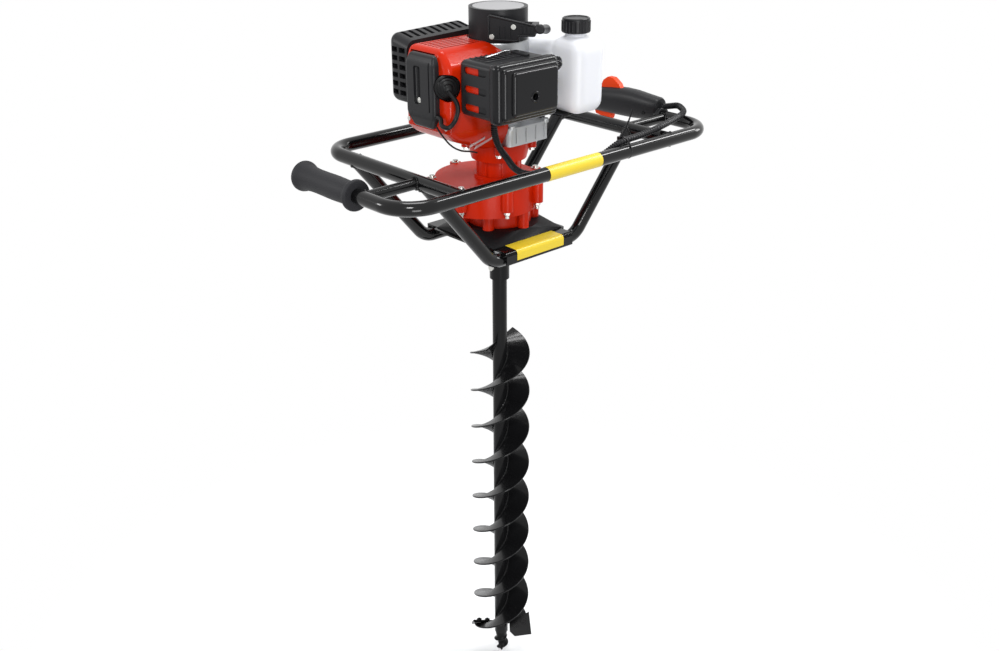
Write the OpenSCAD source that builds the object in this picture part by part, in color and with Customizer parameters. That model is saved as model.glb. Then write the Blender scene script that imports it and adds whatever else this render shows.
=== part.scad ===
// Earth auger: a two-stroke engine over a two-stage gearbox, carried in a tube frame, turning a
// double-flight bit. Millimetres, +Z up, origin at the tip of the bit, +Y away from the operator.

/* [Bit] */
// Diameter of the flights
bit_d = 100; // [80:1:120]
// Length of the bit from its tip to the top of its tube
bit_len = 800; // [750:5:900]
// Outside diameter of the bit's tube
bit_tube_d = 24; // [22:0.5:27]
// Wall of the bit's tube
bit_tube_wall = 3; // [2:0.5:4]
// Rise of one flight in a full turn
flight_lead = 140; // [110:5:170]
// Thickness of a flight
flight_t = 4; // [3:0.5:6]
// Distance from the top of the tube down to the flights
flight_drop = 154; // [120:2:180]
// Height of the flights' lower end above the tip
flight_low = 62; // [58:1:70]
// Diameter of the collar round the tube's upper end
collar_d = 32; // [30:0.5:36]
// Length of that collar
collar_len = 42; // [36:1:60]

/* [Frame] */
// Outside diameter of the frame tubes
tube_d = 21; // [19:0.5:23]
// Wall of the frame tubes
tube_wall = 2; // [1.5:0.5:3]
// Outside diameter of the two short braces
brace_d = 16; // [12:0.5:17]
// Distance from the bit's axis to each hand grip
grip_x = 312; // [302:1:335]
// Distance from the bit's axis to the front bar
front_y = 163; // [160:1:175]
// Distance from the bit's axis to the rear bar
rear_y = 157; // [150:1:175]
// Distance from the bit's axis to each side bar
side_x = 213; // [205:1:225]
// Distance from the bit's axis to the plane of each leg tube
leg_y = 80; // [76:1:84]
// Half width of the leg tubes' level bottom, to the corner
leg_w = 88; // [84:1:96]
// Height from the leg tubes' bottom to the side bars
leg_h = 150; // [147:1:160]
// Bend radius of the bars
bar_bend = 50; // [40:1:56]
// Bend radius of the leg tubes
leg_bend = 36; // [30:1:42]
// Distance from the bit's axis to the braces
brace_y = 70; // [66:1:76]
// Thickness of the base plate
plate_t = 3; // [2:0.5:4]
// Half width of the base plate
plate_w = 80; // [76:1:84]
// Depth of the plate's folded front and rear lips
lip_h = 20; // [16:1:24]
// Gap between the bit's top and the base plate
bit_gap = 40; // [34:1:46]

/* [Gearbox] */
// Height of the mount under the gearbox
mount_h = 16; // [14:1:20]
// Height of the case's narrow lower part
lower_h = 26; // [24:1:30]
// Radius of the case's narrow lower part
lower_r = 56; // [52:1:58]
// Height of the case's wide part
case_h = 38; // [38:1:42]
// Radius of the case's wide part
case_r = 80; // [78:1:83]
// Wall of the case
case_wall = 5; // [4:0.5:6]
// Distance from the bit's axis to the middle of the wide part
case_off = 20; // [18:1:22]
// Thickness of the gearbox cover
cover_t = 8; // [8:0.5:10]
// Module of the gear teeth
gear_mod = 1.25; // [1.25:1.25:1.25]
// Teeth of each pinion
teeth_small = 12; // [12:1:14]
// Teeth of each large gear
teeth_large = 54; // [50:1:54]
// Face width of the input gears
gear_w_in = 11; // [9:0.5:12]
// Face width of the output gears
gear_w_out = 13; // [11:0.5:14]
// Direction of the layshaft seen from the bit's axis
lay_dir = 140; // [130:1:150]
// Radius of the output shaft
out_r = 9; // [8:0.5:9]
// Radius of the neck
neck_r = 33; // [32:0.5:36]
// Height of the neck
neck_h = 30; // [28:1:34]
// Radius of the clutch housing's flange
flange_r = 50; // [47:1:54]
// Height of the clutch housing's flange
flange_h = 28; // [24:1:30]

/* [Engine] */
// Height of the crank's middle over the clutch housing
crank_h = 94; // [93:1:98]
// Radius of the crankcase
crankcase_r = 36; // [34:0.5:38]
// Bore of the cylinder
bore = 44; // [42:1:46]
// Stroke of the piston
stroke = 32; // [30:1:34]
// Length of the connecting rod between its eyes
rod_len = 64; // [63:0.5:65]
// Distance from the crank to the outer face of the cylinder head
head_x = 124; // [122:1:127]
// Half width of the cooling fins
fin_w = 36; // [34:0.5:38]
// Distance from the crank to the shroud's end
shroud_x = 140; // [138:1:142]
// Half width of the shroud
shroud_y = 50; // [48:1:51]
// Height of the shroud's top over the crank
shroud_top = 62; // [60:1:64]
// Depth of the shroud's lower edge under the crank
shroud_low = 54; // [50:1:56]
// Wall of the moulded covers
wall = 2.5; // [2:0.25:3]
// Radius of the starter housing
starter_r = 44; // [43.5:0.5:45]
// Height of the starter housing
starter_h = 57; // [54:1:60]
// Radius of the starter reel
reel_r = 30; // [27:1:32]
// Length of the starter's T handle
pull_len = 60; // [54:1:64]
// Length of the spark plug lead's loop below the plug
lead_drop = 52; // [46:1:56]

/* [Intake and exhaust] */
// Width of the air filter
filter_w = 119; // [112:1:122]
// Height of the air filter
filter_h = 80; // [76:1:84]
// Depth of the slotted filter case
filter_d = 62; // [58:1:64]
// Depth of the filter cover
filter_cover_d = 24; // [20:1:28]
// Length of the muffler guard
guard_len = 142; // [134:1:144]
// Depth of the muffler guard
guard_d = 46; // [43:1:50]
// Height of the muffler guard
guard_h = 97; // [92:1:100]

/* [Fuel tank] */
// Width of the tank
tank_x = 64; // [61:1:68]
// Length of the tank's tall front part
tank_front = 66; // [62:1:70]
// Length of the whole tank
tank_len = 168; // [160:1:172]
// Height of the tall part
tank_h = 113; // [110:1:117]
// Height of the rear part
tank_rear_h = 106; // [102:1:110]
// Wall of the tank
tank_wall = 2.5; // [2:0.25:3]
// Diameter of the filler cap
cap_d = 44; // [41:0.5:47]
// Height of the filler cap
cap_h = 20; // [18:0.5:24]

/* [Hand controls] */
// Length of the left grip
grip_len = 129; // [120:1:134]
// Diameter of the left grip
grip_d = 36; // [33:0.5:39]
// Length of the throttle grip
throttle_len = 180; // [174:1:186]
// Width of the throttle grip
throttle_w = 34; // [32:0.5:38]
// Height of the throttle grip
throttle_h = 42; // [40:0.5:46]
// Width of the slot that holds the trigger and the lock
slot_w = 11; // [10:0.5:12]
// Diameter of the ribbed cable conduit
conduit_d = 9; // [8:0.5:10]
// Count of ribs along the conduit
conduit_ribs = 130; // [100:1:150]

/* [Hidden] */
$fn = 64;
hull_fn = 32;

black = [0.06, 0.06, 0.07];
dark = [0.15, 0.15, 0.16];
orange = [0.86, 0.20, 0.06];
alloy = [0.66, 0.67, 0.69];
steel = [0.52, 0.53, 0.55];
white = [0.92, 0.92, 0.89];

// gap between bodies, running fit of a shaft, seat between fixed pieces
gap = 0.4;
run = 0.05;
seat = 0.1;

z_plate = bit_len + bit_gap;
tube_r = tube_d / 2;
brace_r = brace_d / 2;
z_leg = z_plate - tube_r;
z_frame = z_leg + leg_h;
z_mount = z_plate + plate_t;
z_lower = z_mount + mount_h;
z_case = z_lower + lower_h;
z_cover = z_case + case_h;
z_neck = z_cover + cover_t;
z_flange = z_neck + neck_h;
z_engine = z_flange + flange_h;
z_crank = z_engine + crank_h;

lip_y = leg_y + tube_r + 1;
leg_flat = leg_w - leg_bend * tan(atan2(leg_h, side_x - leg_w) / 2) - 1;
case_c = [case_off * cos(lay_dir), case_off * sin(lay_dir)];
gear_c = gear_mod * (teeth_small + teeth_large) / 2;
lay = [gear_c * cos(lay_dir), gear_c * sin(lay_dir)];
z_gear_out = z_case + case_wall + 1;
z_gear_in = z_gear_out + gear_w_out + 4;
lug_r = 55;
lay_r = 6;
in_r = 6;
bearing_h = 9;
hub_r = 20;

pin_x = stroke / 2;
wrist_x = pin_x + rod_len;
port_x = 78;
z_blow = z_crank + 27;
z_starter = z_blow + 22;
blow_r = starter_r + 2;
pull_turn = -54;
pull_y = -28;
pull_z = z_starter + 29.5;
pull_end = 64;
filter_x = -62;
filter_back = shroud_y + 3;
filter_front = filter_back + filter_d;
z_filter = z_crank - 29;
guard_back = shroud_y + 2;
z_guard = z_crank - 29;
guard_y0 = -30;
tank_left = 62;
tank_mid = tank_left + tank_x / 2;
tank_y0 = -106;
z_tank = z_engine + 40;
neck_y = tank_y0 + tank_front / 2 + 4;
z_cap = z_tank + tank_h + 6;

throttle_y0 = -55;
slot_y0 = 46;
slot_y1 = 116;
trigger_y = 110;
trigger_z = z_frame - 6;
lock_y = 98;
lock_z = z_frame + 13;

function unit(v) = v / norm(v);
function axes(o, x, y, z) = [[x[0], y[0], z[0], o[0]], [x[1], y[1], z[1], o[1]],
    [x[2], y[2], z[2], o[2]], [0, 0, 0, 1]];
function side_of(u) = abs(u[2]) < 0.9 ? unit(cross(u, [0, 0, 1])) : unit(cross(u, [1, 0, 0]));
function bend_back(a, b, c, r) = r * tan(acos(unit(b - a) * unit(c - b)) / 2);

module ring2(ro, ri) {
    difference() {
        circle(ro);
        circle(ri);
    }
}

module ring(ro, ri, h) {
    linear_extrude(h) ring2(ro, ri);
}

module along(a, b) {
    u = unit(b - a);
    x = side_of(u);
    multmatrix(axes(a, x, cross(u, x), u)) children();
}

module rod(a, b, r) {
    along(a, b) cylinder(h = norm(b - a), r = r);
}

module straight_tube(a, b, ro, ri) {
    along(a, b) ring(ro, ri, norm(b - a));
}

module bend_tube(a, b, c, r, ro, ri, lap) {
    u = unit(b - a);
    w = unit(c - b);
    n = unit(w - (w * u) * u);
    start = b - bend_back(a, b, c, r) * u;
    swell = lap > 0 ? bend_swell : 0;
    multmatrix(axes(start + r * n, -n, u, cross(-n, u))) rotate(-lap)
        rotate_extrude(angle = acos(u * w) + 2 * lap) translate([r, 0]) ring2(ro + swell, ri - swell);
}

// a slanting bend is a little thicker than the straight tube and laps over its end, degrees
bend_swell = 0.25;
bend_lap = 3;

// a tube bent at the two middle points of four
module bent_tube(p, r, ro, ri, lap = 0) {
    t1 = bend_back(p[0], p[1], p[2], r);
    t2 = bend_back(p[1], p[2], p[3], r);
    straight_tube(p[0], p[1] - t1 * unit(p[1] - p[0]), ro, ri);
    bend_tube(p[0], p[1], p[2], r, ro, ri, lap);
    straight_tube(p[1] + t1 * unit(p[2] - p[1]), p[2] - t2 * unit(p[2] - p[1]), ro, ri);
    bend_tube(p[1], p[2], p[3], r, ro, ri, lap);
    straight_tube(p[2] + t2 * unit(p[3] - p[2]), p[3], ro, ri);
}

module box(x0, x1, y0, y1, z0, z1) {
    translate([x0, y0, z0]) cube([x1 - x0, y1 - y0, z1 - z0]);
}

// a box with round corners in plan
module round_box(x0, x1, y0, y1, z0, z1, r) {
    translate([0, 0, z0]) linear_extrude(z1 - z0) union() {
        translate([x0 + r, y0]) square([x1 - x0 - 2 * r, y1 - y0]);
        translate([x0, y0 + r]) square([x1 - x0, y1 - y0 - 2 * r]);
        for (x = [x0 + r, x1 - r]) for (y = [y0 + r, y1 - r]) translate([x, y]) circle(r);
    }
}

// a box with round corners as seen along Y
module round_box_y(x0, x1, y0, y1, z0, z1, r) {
    translate([0, y1, 0]) rotate([90, 0, 0]) round_box(x0, x1, z0, z1, 0, y1 - y0, r);
}

// the sections of a swept tube: p points, u directions, r radii, n sides
module sweep(p, r, n) {
    m = len(p);
    dirs = [for (i = [0:m - 1]) unit(p[min(i + 1, m - 1)] - p[max(i - 1, 0)])];
    pts = [for (i = [0:m - 1]) let (x = side_of(dirs[i]), y = cross(dirs[i], x))
        for (k = [0:n - 1]) p[i] + r[i] * (cos(360 * k / n) * x + sin(360 * k / n) * y)];
    skin = [for (i = [0:m - 2]) for (k = [0:n - 1])
        [i * n + k, (i + 1) * n + k, (i + 1) * n + (k + 1) % n, i * n + (k + 1) % n]];
    ends = [[for (k = [0:n - 1]) k], [for (k = [n - 1:-1:0]) (m - 1) * n + k]];
    polyhedron(pts, concat(skin, ends));
}

function spline(a, b, c, d, t) = 0.5 * ((2 * b) + (c - a) * t + (2 * a - 5 * b + 4 * c - d) * t * t
    + (3 * b - a - 3 * c + d) * t * t * t);
function route(p, n) = [for (i = [0:len(p) - 2]) for (k = [0:n - 1])
    spline(p[max(i - 1, 0)], p[i], p[i + 1], p[min(i + 2, len(p) - 1)], k / n)];

// involute gear outline
gear_pa = 25;
gear_play = 0.22;
function inv_ang(r, rb) = r <= rb ? 0 : sqrt(r * r / (rb * rb) - 1) * 180 / PI - acos(rb / r);
function half_ang(r, t) = let (rp = gear_mod * t / 2, rb = rp * cos(gear_pa))
    90 / t - gear_play / 2 / rp * 180 / PI + inv_ang(rp, rb) - inv_ang(r, rb);
function polar(r, a) = [r * cos(a), r * sin(a)];
function tooth(t, k) = let (rp = gear_mod * t / 2, ro = rp + 0.9 * gear_mod, ri = rp - 1.2 * gear_mod,
    a = 360 * k / t, rs = [max(ri + 0.2, rp * cos(gear_pa)), rp - 0.2, rp + 0.45 * gear_mod, ro])
    concat([polar(ri, a - half_ang(rs[0], t) - 0.6)],
        [for (i = [0:3]) polar(rs[i], a - half_ang(rs[i], t))],
        [for (i = [3:-1:0]) polar(rs[i], a + half_ang(rs[i], t))],
        [polar(ri, a + half_ang(rs[0], t) + 0.6)]);
module gear(t, h, hole) {
    linear_extrude(h) difference() {
        polygon([for (k = [0:t - 1]) for (q = tooth(t, k)) q]);
        if (hole > 0) circle(hole);
    }
}

// frame
module handlebar() {
    color(black) bent_tube([[-grip_x, 62, z_frame], [-grip_x, -front_y, z_frame],
        [grip_x, -front_y, z_frame], [grip_x, slot_y0 - 4, z_frame]], bar_bend, tube_r, tube_r - tube_wall);
}

module side_loop() {
    color(black) difference() {
        bent_tube([[-side_x, -front_y, z_frame], [-side_x, rear_y, z_frame],
            [side_x, rear_y, z_frame], [side_x, -front_y, z_frame]], bar_bend - 6, tube_r, tube_r - tube_wall);
        rod([-grip_x, -front_y, z_frame], [grip_x, -front_y, z_frame], tube_r + seat / 2);
    }
}

module leg_tube(y) {
    u = 4 * unit([side_x - leg_w, 0, z_leg - z_frame]);
    v = 4 * unit([leg_w - side_x, 0, z_leg - z_frame]);
    difference() {
        bent_tube([[-side_x, y, z_frame] + u, [-leg_w, y, z_leg], [leg_w, y, z_leg], [side_x, y, z_frame] + v],
            leg_bend, tube_r, tube_r - tube_wall, bend_lap);
        for (x = [-side_x, side_x])
            rod([x, -front_y, z_frame], [x, rear_y, z_frame], tube_r + seat / 2);
    }
}

module front_leg_tube() {
    color(black) leg_tube(-leg_y);
}

module rear_leg_tube() {
    color(black) leg_tube(leg_y);
}

module brace_tubes() {
    color(black) for (s = [-1, 1]) difference() {
        straight_tube([s * side_x, -brace_y, z_frame], [s * grip_x, -brace_y, z_frame], brace_r, brace_r - 2);
        for (x = [side_x, grip_x])
            rod([s * x, -front_y, z_frame], [s * x, 30, z_frame], tube_r + seat / 2);
    }
}

module base_plate() {
    color(black) difference() {
        union() {
            round_box(-plate_w, plate_w, tube_r + 1 - leg_y, leg_y - tube_r - 1, z_plate, z_mount, 6);
            box(-leg_flat, leg_flat, -lip_y - plate_t, lip_y + plate_t, z_plate, z_mount);
            for (y = [-lip_y - plate_t, lip_y]) box(-leg_flat, leg_flat, y, y + plate_t, z_mount - lip_h, z_mount);
        }
        translate([0, 0, z_plate - 1]) cylinder(h = plate_t + 2, r = hub_r - 4);
        lug_holes(z_plate - 1, z_mount + 1);
    }
}

module lug_places() {
    for (k = [0:5]) rotate(30 + 60 * k) translate([lug_r, 0, 0]) children();
}

module lug_holes(z0, z1) {
    lug_places() translate([0, 0, z0]) cylinder(h = z1 - z0, r = 3 + seat, $fn = 24);
}

// gearbox and bit
module gearbox_mount() {
    color(black) difference() {
        hull() {
            translate([0, 0, z_mount]) linear_extrude(1) square([2 * plate_w - 14, 2 * leg_y - 26], center = true);
            translate([0, 0, z_lower - 1]) cylinder(h = 1, r = lug_r + 9, $fn = hull_fn);
        }
        translate([0, 0, z_mount - 1]) cylinder(h = mount_h + 2, r = hub_r);
        lug_holes(z_mount - 1, z_lower + 1);
    }
}

tab_dirs = [30, 84, 148, 202, 250, 296, 342];

module tab_places() {
    translate([case_c[0], case_c[1], 0]) for (a = tab_dirs) rotate(a) translate([case_r + 5, 0, 0]) children();
}

module gearbox_case() {
    color(orange) difference() {
        union() {
            translate([case_c[0], case_c[1], z_case]) cylinder(h = case_h, r = case_r);
            tab_places() translate([0, 0, z_case + 4]) cylinder(h = case_h - 4, r = 9, $fn = 32);
            translate([0, 0, z_lower]) cylinder(h = lower_h, r = lower_r - 6);
            lug_places() translate([0, 0, z_lower]) cylinder(h = lower_h, r = 9, $fn = 32);
            translate([lay[0], lay[1], z_case - 10]) cylinder(h = 10, r = 22);
        }
        translate([case_c[0], case_c[1], z_case + case_wall]) cylinder(h = case_h, r = case_r - case_wall);
        translate([0, 0, z_lower - 1]) ring(lower_r - 11, hub_r + 6, lower_h - 4);
        translate([0, 0, z_lower - 1]) cylinder(h = lower_h + 10, r = hub_r);
        translate([lay[0], lay[1], z_case + case_wall - bearing_h]) cylinder(h = bearing_h + 1, r = 13);
        tab_places() translate([0, 0, z_case]) cylinder(h = case_h + 1, r = 2.5 + seat, $fn = 24);
        lug_holes(z_lower - 1, z_lower + lower_h - 8);
    }
}

module gearbox_cover() {
    color(orange) difference() {
        union() {
            translate([case_c[0], case_c[1], z_cover]) cylinder(h = cover_t, r = case_r);
            tab_places() translate([0, 0, z_cover]) cylinder(h = cover_t, r = 9, $fn = 32);
        }
        translate([0, 0, z_cover - 1]) cylinder(h = cover_t + 2, r = 16);
        translate([lay[0], lay[1], z_cover - 1]) cylinder(h = 6, r = 13);
        tab_places() translate([0, 0, z_cover - 1]) cylinder(h = cover_t + 2, r = 2.5 + seat, $fn = 24);
    }
}

module gearbox_bolts() {
    color(steel) {
        tab_places() {
            translate([0, 0, z_case]) cylinder(h = case_h + cover_t, r = 2.5, $fn = 24);
            translate([0, 0, z_neck]) cylinder(h = 4, r = 4.5, $fn = 24);
            translate([0, 0, z_case]) cylinder(h = 4 - seat, r = 4.5, $fn = 6);
        }
        lug_places() {
            translate([0, 0, z_plate]) cylinder(h = plate_t + mount_h + lower_h - 9, r = 3, $fn = 24);
            translate([0, 0, z_plate - 4]) cylinder(h = 4, r = 5, $fn = 6);
        }
    }
}

module bearing_ring(z, ro, ri, h) {
    translate([0, 0, z]) ring(ro, ri, h);
}

module bearings() {
    color(steel) {
        bearing_ring(z_lower + 2, hub_r - seat, out_r + run, bearing_h);
        bearing_ring(z_case + case_wall - bearing_h, hub_r - seat, out_r + run, bearing_h);
        bearing_ring(z_mount + 3, hub_r - seat, out_r + run, 6);
        bearing_ring(z_cover, 16 - seat, in_r + run, cover_t);
        translate([lay[0], lay[1], 0]) {
            bearing_ring(z_case + case_wall - bearing_h, 13 - seat, lay_r + run, bearing_h - seat);
            bearing_ring(z_cover, 13 - seat, lay_r + run, 5 - seat);
        }
    }
}

module output_shaft() {
    color(steel) difference() {
        translate([0, 0, bit_len - collar_len]) cylinder(h = z_gear_out + gear_w_out - bit_len + collar_len, r = out_r);
        bolt_hole();
    }
}

module bolt_hole() {
    rod([-40, 0, bit_len - collar_len / 2], [40, 0, bit_len - collar_len / 2], 3 + seat);
}

module output_gear() {
    color(steel) translate([0, 0, z_gear_out]) rotate(lay_dir + 180 / teeth_large)
        gear(teeth_large, gear_w_out, out_r);
}

module layshaft() {
    color(steel) translate([lay[0], lay[1], 0]) {
        translate([0, 0, z_case + case_wall - bearing_h + 0.5]) cylinder(h = z_cover + 4 - z_case - case_wall + bearing_h - 0.5, r = lay_r - 1);
        bearing_seat(z_case + case_wall - bearing_h + 0.5, bearing_h + 0.3);
        bearing_seat(z_cover - 1, 5 - 0.5);
        translate([0, 0, z_gear_out]) rotate(lay_dir + 180) gear(teeth_small, gear_w_out + 2, 0);
    }
}

module bearing_seat(z, h) {
    translate([0, 0, z]) cylinder(h = h, r = lay_r);
}

module layshaft_gear() {
    color(steel) translate([lay[0], lay[1], z_gear_in]) rotate(lay_dir + 180 + 180 / teeth_large)
        gear(teeth_large, gear_w_in, lay_r - 1);
}

module input_shaft() {
    color(steel) {
        translate([0, 0, z_gear_in + 2]) cylinder(h = z_neck + 16 - z_gear_in - 2, r = in_r - 1);
        translate([0, 0, z_gear_in + gear_w_in]) cylinder(h = z_neck + 16 - z_gear_in - gear_w_in, r = in_r);
        translate([0, 0, z_gear_in]) rotate(lay_dir) gear(teeth_small, gear_w_in, 0);
    }
}

module clutch_drum() {
    color(steel) translate([0, 0, z_neck + 8]) difference() {
        cylinder(h = neck_h + 4, r = neck_r - 5.5);
        translate([0, 0, 3]) cylinder(h = neck_h + 4, r = neck_r - 8);
        translate([0, 0, -1]) cylinder(h = 6, r = in_r);
    }
}

module clutch_housing() {
    color(orange) difference() {
        union() {
            translate([0, 0, z_neck]) cylinder(h = 5, r = neck_r + 6);
            translate([0, 0, z_neck]) cylinder(h = neck_h + flange_h, r = neck_r);
            translate([0, 0, z_flange]) cylinder(h = flange_h, r1 = neck_r + 10, r2 = flange_r);
            for (a = flange_dirs) rotate(a) translate([flange_r + 1, 0, z_flange + flange_h - 12]) cylinder(h = 12, r = 7, $fn = 32);
        }
        translate([0, 0, z_neck - 1]) cylinder(h = neck_h + flange_h + 2, r = neck_r - 2.5);
        translate([0, 0, z_flange + 6]) cylinder(h = flange_h, r = flange_r - 14);
    }
}
flange_dirs = [40, 140, 228, 312];

module bit_tube() {
    color(black) difference() {
        union() {
            translate([0, 0, flight_low - 14]) cylinder(h = bit_len - flight_low + 14, r = bit_tube_d / 2);
            translate([0, 0, bit_len - collar_len]) cylinder(h = collar_len, r = collar_d / 2);
        }
        translate([0, 0, flight_low]) cylinder(h = bit_len, r = bit_tube_d / 2 - bit_tube_wall);
        translate([0, 0, bit_len - collar_len - 1]) cylinder(h = collar_len + 2, r = out_r + seat / 2);
        bolt_hole();
    }
}

flight_steps = 30;
flight_phase = 140;

module flight(a0) {
    h = bit_len - flight_drop - flight_low;
    n = ceil(h / flight_lead * flight_steps);
    ri = (bit_tube_d / 2 + seat) / cos(180 / flight_steps);
    pts = [for (i = [0:n]) let (a = a0 + 360 * i * h / n / flight_lead, z = flight_low + i * h / n)
        for (q = [[ri, 0], [bit_d / 2, 0], [bit_d / 2, flight_t], [ri, flight_t]])
            [q[0] * cos(a), q[0] * sin(a), z + q[1]]];
    skin = [for (i = [0:n - 1]) for (k = [0:3])
        [4 * i + k, 4 * i + (k + 1) % 4, 4 * i + 4 + (k + 1) % 4, 4 * i + 4 + k]];
    polyhedron(pts, concat(skin, [[3, 2, 1, 0], [4 * n, 4 * n + 1, 4 * n + 2, 4 * n + 3]]));
}

module bit_flights() {
    color(black) for (s = [0, 180]) flight(flight_phase + s);
}

// each blade hangs from the lower end of a flight and leads it into the ground
blade_slope = 55;
blade_w = bit_d / 2 - bit_tube_d / 2;
module bit_blades() {
    down = [0, -cos(blade_slope), -sin(blade_slope)];
    under = [0, sin(blade_slope), -cos(blade_slope)];
    color(dark) for (s = [0, 180]) rotate(flight_phase + s)
        multmatrix(axes([bit_tube_d / 2 + 2, -seat, flight_low], [1, 0, 0], down, under))
            linear_extrude(5) polygon([[0, 0], [blade_w - 2, 0], [blade_w + 2, 30], [8, 35], [0, 22]]);
}

point_lead = 24;
point_steps = 20;

// a tapered screw round the point
module point_screw() {
    top = flight_low - 20;
    n = ceil(top / point_lead * point_steps);
    pts = [for (i = [0:n]) let (a = flight_phase + 360 * i * top / n / point_lead, z = 3 + i * top / n, ro = 4 + 10 * i / n)
        for (q = [[1, 0], [ro, 1], [ro, 2.5], [1, 3.5]]) [q[0] * cos(a), q[0] * sin(a), z + q[1]]];
    skin = [for (i = [0:n - 1]) for (k = [0:3])
        [4 * i + k, 4 * i + (k + 1) % 4, 4 * i + 4 + (k + 1) % 4, 4 * i + 4 + k]];
    polyhedron(pts, concat(skin, [[3, 2, 1, 0], [4 * n, 4 * n + 1, 4 * n + 2, 4 * n + 3]]));
}

module bit_point() {
    color(dark) {
        translate([0, 0, 14]) cylinder(h = flight_low - 28, r1 = 5, r2 = 10);
        cylinder(h = 14, r1 = 0.6, r2 = 5);
        point_screw();
    }
}

module coupling_bolt() {
    color(steel) {
        rod([-collar_d / 2, 0, bit_len - collar_len / 2], [collar_d / 2 + 7, 0, bit_len - collar_len / 2], 3);
        rod([-collar_d / 2 - 4, 0, bit_len - collar_len / 2], [-collar_d / 2, 0, bit_len - collar_len / 2], 5);
        rod([collar_d / 2, 0, bit_len - collar_len / 2], [collar_d / 2 + 5, 0, bit_len - collar_len / 2], 5);
    }
}

// engine
module crankcase() {
    color(alloy) difference() {
        union() {
            round_box(-26, 57, -52, 44, z_engine, z_engine + 28, 8);
            translate([0, 0, z_engine]) cylinder(h = z_blow - z_engine, r = crankcase_r);
            translate([0, 0, z_blow]) cylinder(h = 22, r = blow_r);
            rod([-46, 0, z_crank], [0, 0, z_crank], 30.5);
        }
        translate([0, 0, z_crank - 27]) cylinder(h = 53, r = 27);
        rod([-47, 0, z_crank], [0, 0, z_crank], bore / 2);
        translate([0, 0, z_engine - 1]) cylinder(h = 22, r = 26);
        translate([0, 0, z_blow + 4]) cylinder(h = 20, r = blow_r - 4);
        translate([0, 0, z_engine]) cylinder(h = 200, r = 8 + run);
    }
}

module crankshaft() {
    color(steel) {
        translate([0, 0, z_neck + 22]) cylinder(h = z_crank - 14 - z_neck - 22, r = 8);
        translate([0, 0, z_flange + 14]) cylinder(h = 4, r = 22);
        for (z = [-25, 14]) translate([0, 0, z_crank + z]) cylinder(h = 11, r = 25.5);
        translate([-pin_x, 0, z_crank - 15]) cylinder(h = 30, r = 6);
        translate([0, 0, z_crank + 14]) cylinder(h = z_starter - z_crank - 10, r = 8);
    }
}

module connecting_rod() {
    color(alloy) difference() {
        union() {
            translate([-pin_x, 0, z_crank - 7]) cylinder(h = 14, r = 10);
            translate([-wrist_x, 0, z_crank - 6]) cylinder(h = 12, r = 8);
            box(-wrist_x, -pin_x, -4, 4, z_crank - 3, z_crank + 3);
        }
        translate([-pin_x, 0, z_crank - 8]) cylinder(h = 16, r = 6 + run);
        translate([-wrist_x, 0, z_crank - 8]) cylinder(h = 16, r = 5 + run);
    }
}

module piston() {
    color(alloy) {
        difference() {
            rod([-wrist_x - 22, 0, z_crank], [-wrist_x + 14, 0, z_crank], bore / 2 - run);
            rod([-wrist_x - 17, 0, z_crank], [-wrist_x + 20, 0, z_crank], bore / 2 - 4);
        }
        translate([-wrist_x, 0, z_crank - bore / 2 + 2]) cylinder(h = bore - 4, r = 5);
    }
}

module cylinder_body() {
    rod([-head_x, 0, z_crank], [-46 - seat, 0, z_crank], 28);
    rod([-50, 0, z_crank], [-46 - seat, 0, z_crank], 34);
    for (k = [0:7]) box(-57 - 9 * k - 2.5, -57 - 9 * k, -fin_w, fin_w, z_crank - fin_w, z_crank + fin_w);
    rod([-port_x, -shroud_y - 1, z_crank], [-port_x, shroud_y + 1, z_crank], 15);
}

module cylinder_block() {
    color(alloy) difference() {
        cylinder_body();
        rod([-wrist_x - 26, 0, z_crank], [-40, 0, z_crank], bore / 2);
        rod([-port_x, -shroud_y - 2, z_crank], [-port_x, -bore / 2 + 2, z_crank], 9);
        rod([-port_x, bore / 2 - 2, z_crank], [-port_x, shroud_y + 2, z_crank], 9);
        rod(plug_at, plug_at + 60 * plug_dir, 11);
        rod(plug_at + 9.5 * plug_dir, plug_at + 60 * plug_dir, 18);
        rod(plug_at - 30 * plug_dir, plug_at + 60 * plug_dir, 7 + seat);
    }
}

plug_dir = [-0.5, -0.86603, 0];
plug_at = [-head_x + 6, -12, z_crank + 12];

module spark_plug() {
    color(white) {
        rod(plug_at - 12 * plug_dir, plug_at + 1 * plug_dir, 7);
        rod(plug_at, plug_at + 9 * plug_dir, 10);
        rod(plug_at + 8 * plug_dir, plug_at + 30 * plug_dir, 5);
    }
}

module plug_boot() {
    color(black) difference() {
        union() {
            rod(plug_at + 10 * plug_dir, plug_at + 38 * plug_dir, 13);
            rod(plug_at + 12 * plug_dir, plug_at + 20 * plug_dir, 17);
        }
        rod(plug_at + 9 * plug_dir, plug_at + 31 * plug_dir, 5 + seat);
    }
}

boot_end = plug_at + 38 * plug_dir;
lead_path = route([boot_end + [0, 0, -3] + 3.3 * plug_dir, boot_end + [6, -13, -22],
    boot_end + [3, -13, 11 - lead_drop], boot_end + [-9, -12, -lead_drop], boot_end + [-13, -1, 1 - lead_drop],
    boot_end + [-10, 5, 8 - lead_drop], boot_end + [-8.5, 9.4, 10 - lead_drop],
    [boot_end[0] - 8.5, guard_y0 - 0.3, boot_end[2] + 10 - lead_drop]], 6);
module ht_lead() {
    color(black) sweep(lead_path, [for (p = lead_path) 3], 10);
}

module flywheel() {
    color(alloy) difference() {
        union() {
            translate([0, 0, z_blow + 7]) cylinder(h = 6, r = blow_r - 6);
            for (k = [0:11]) rotate(30 * k) box(22, blow_r - 7, -1.5, 1.5, z_blow + 12, z_blow + 20);
            translate([0, 0, z_blow + 7]) cylinder(h = 13, r = 16);
        }
        translate([0, 0, z_blow]) cylinder(h = 40, r = 8);
    }
}

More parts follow.
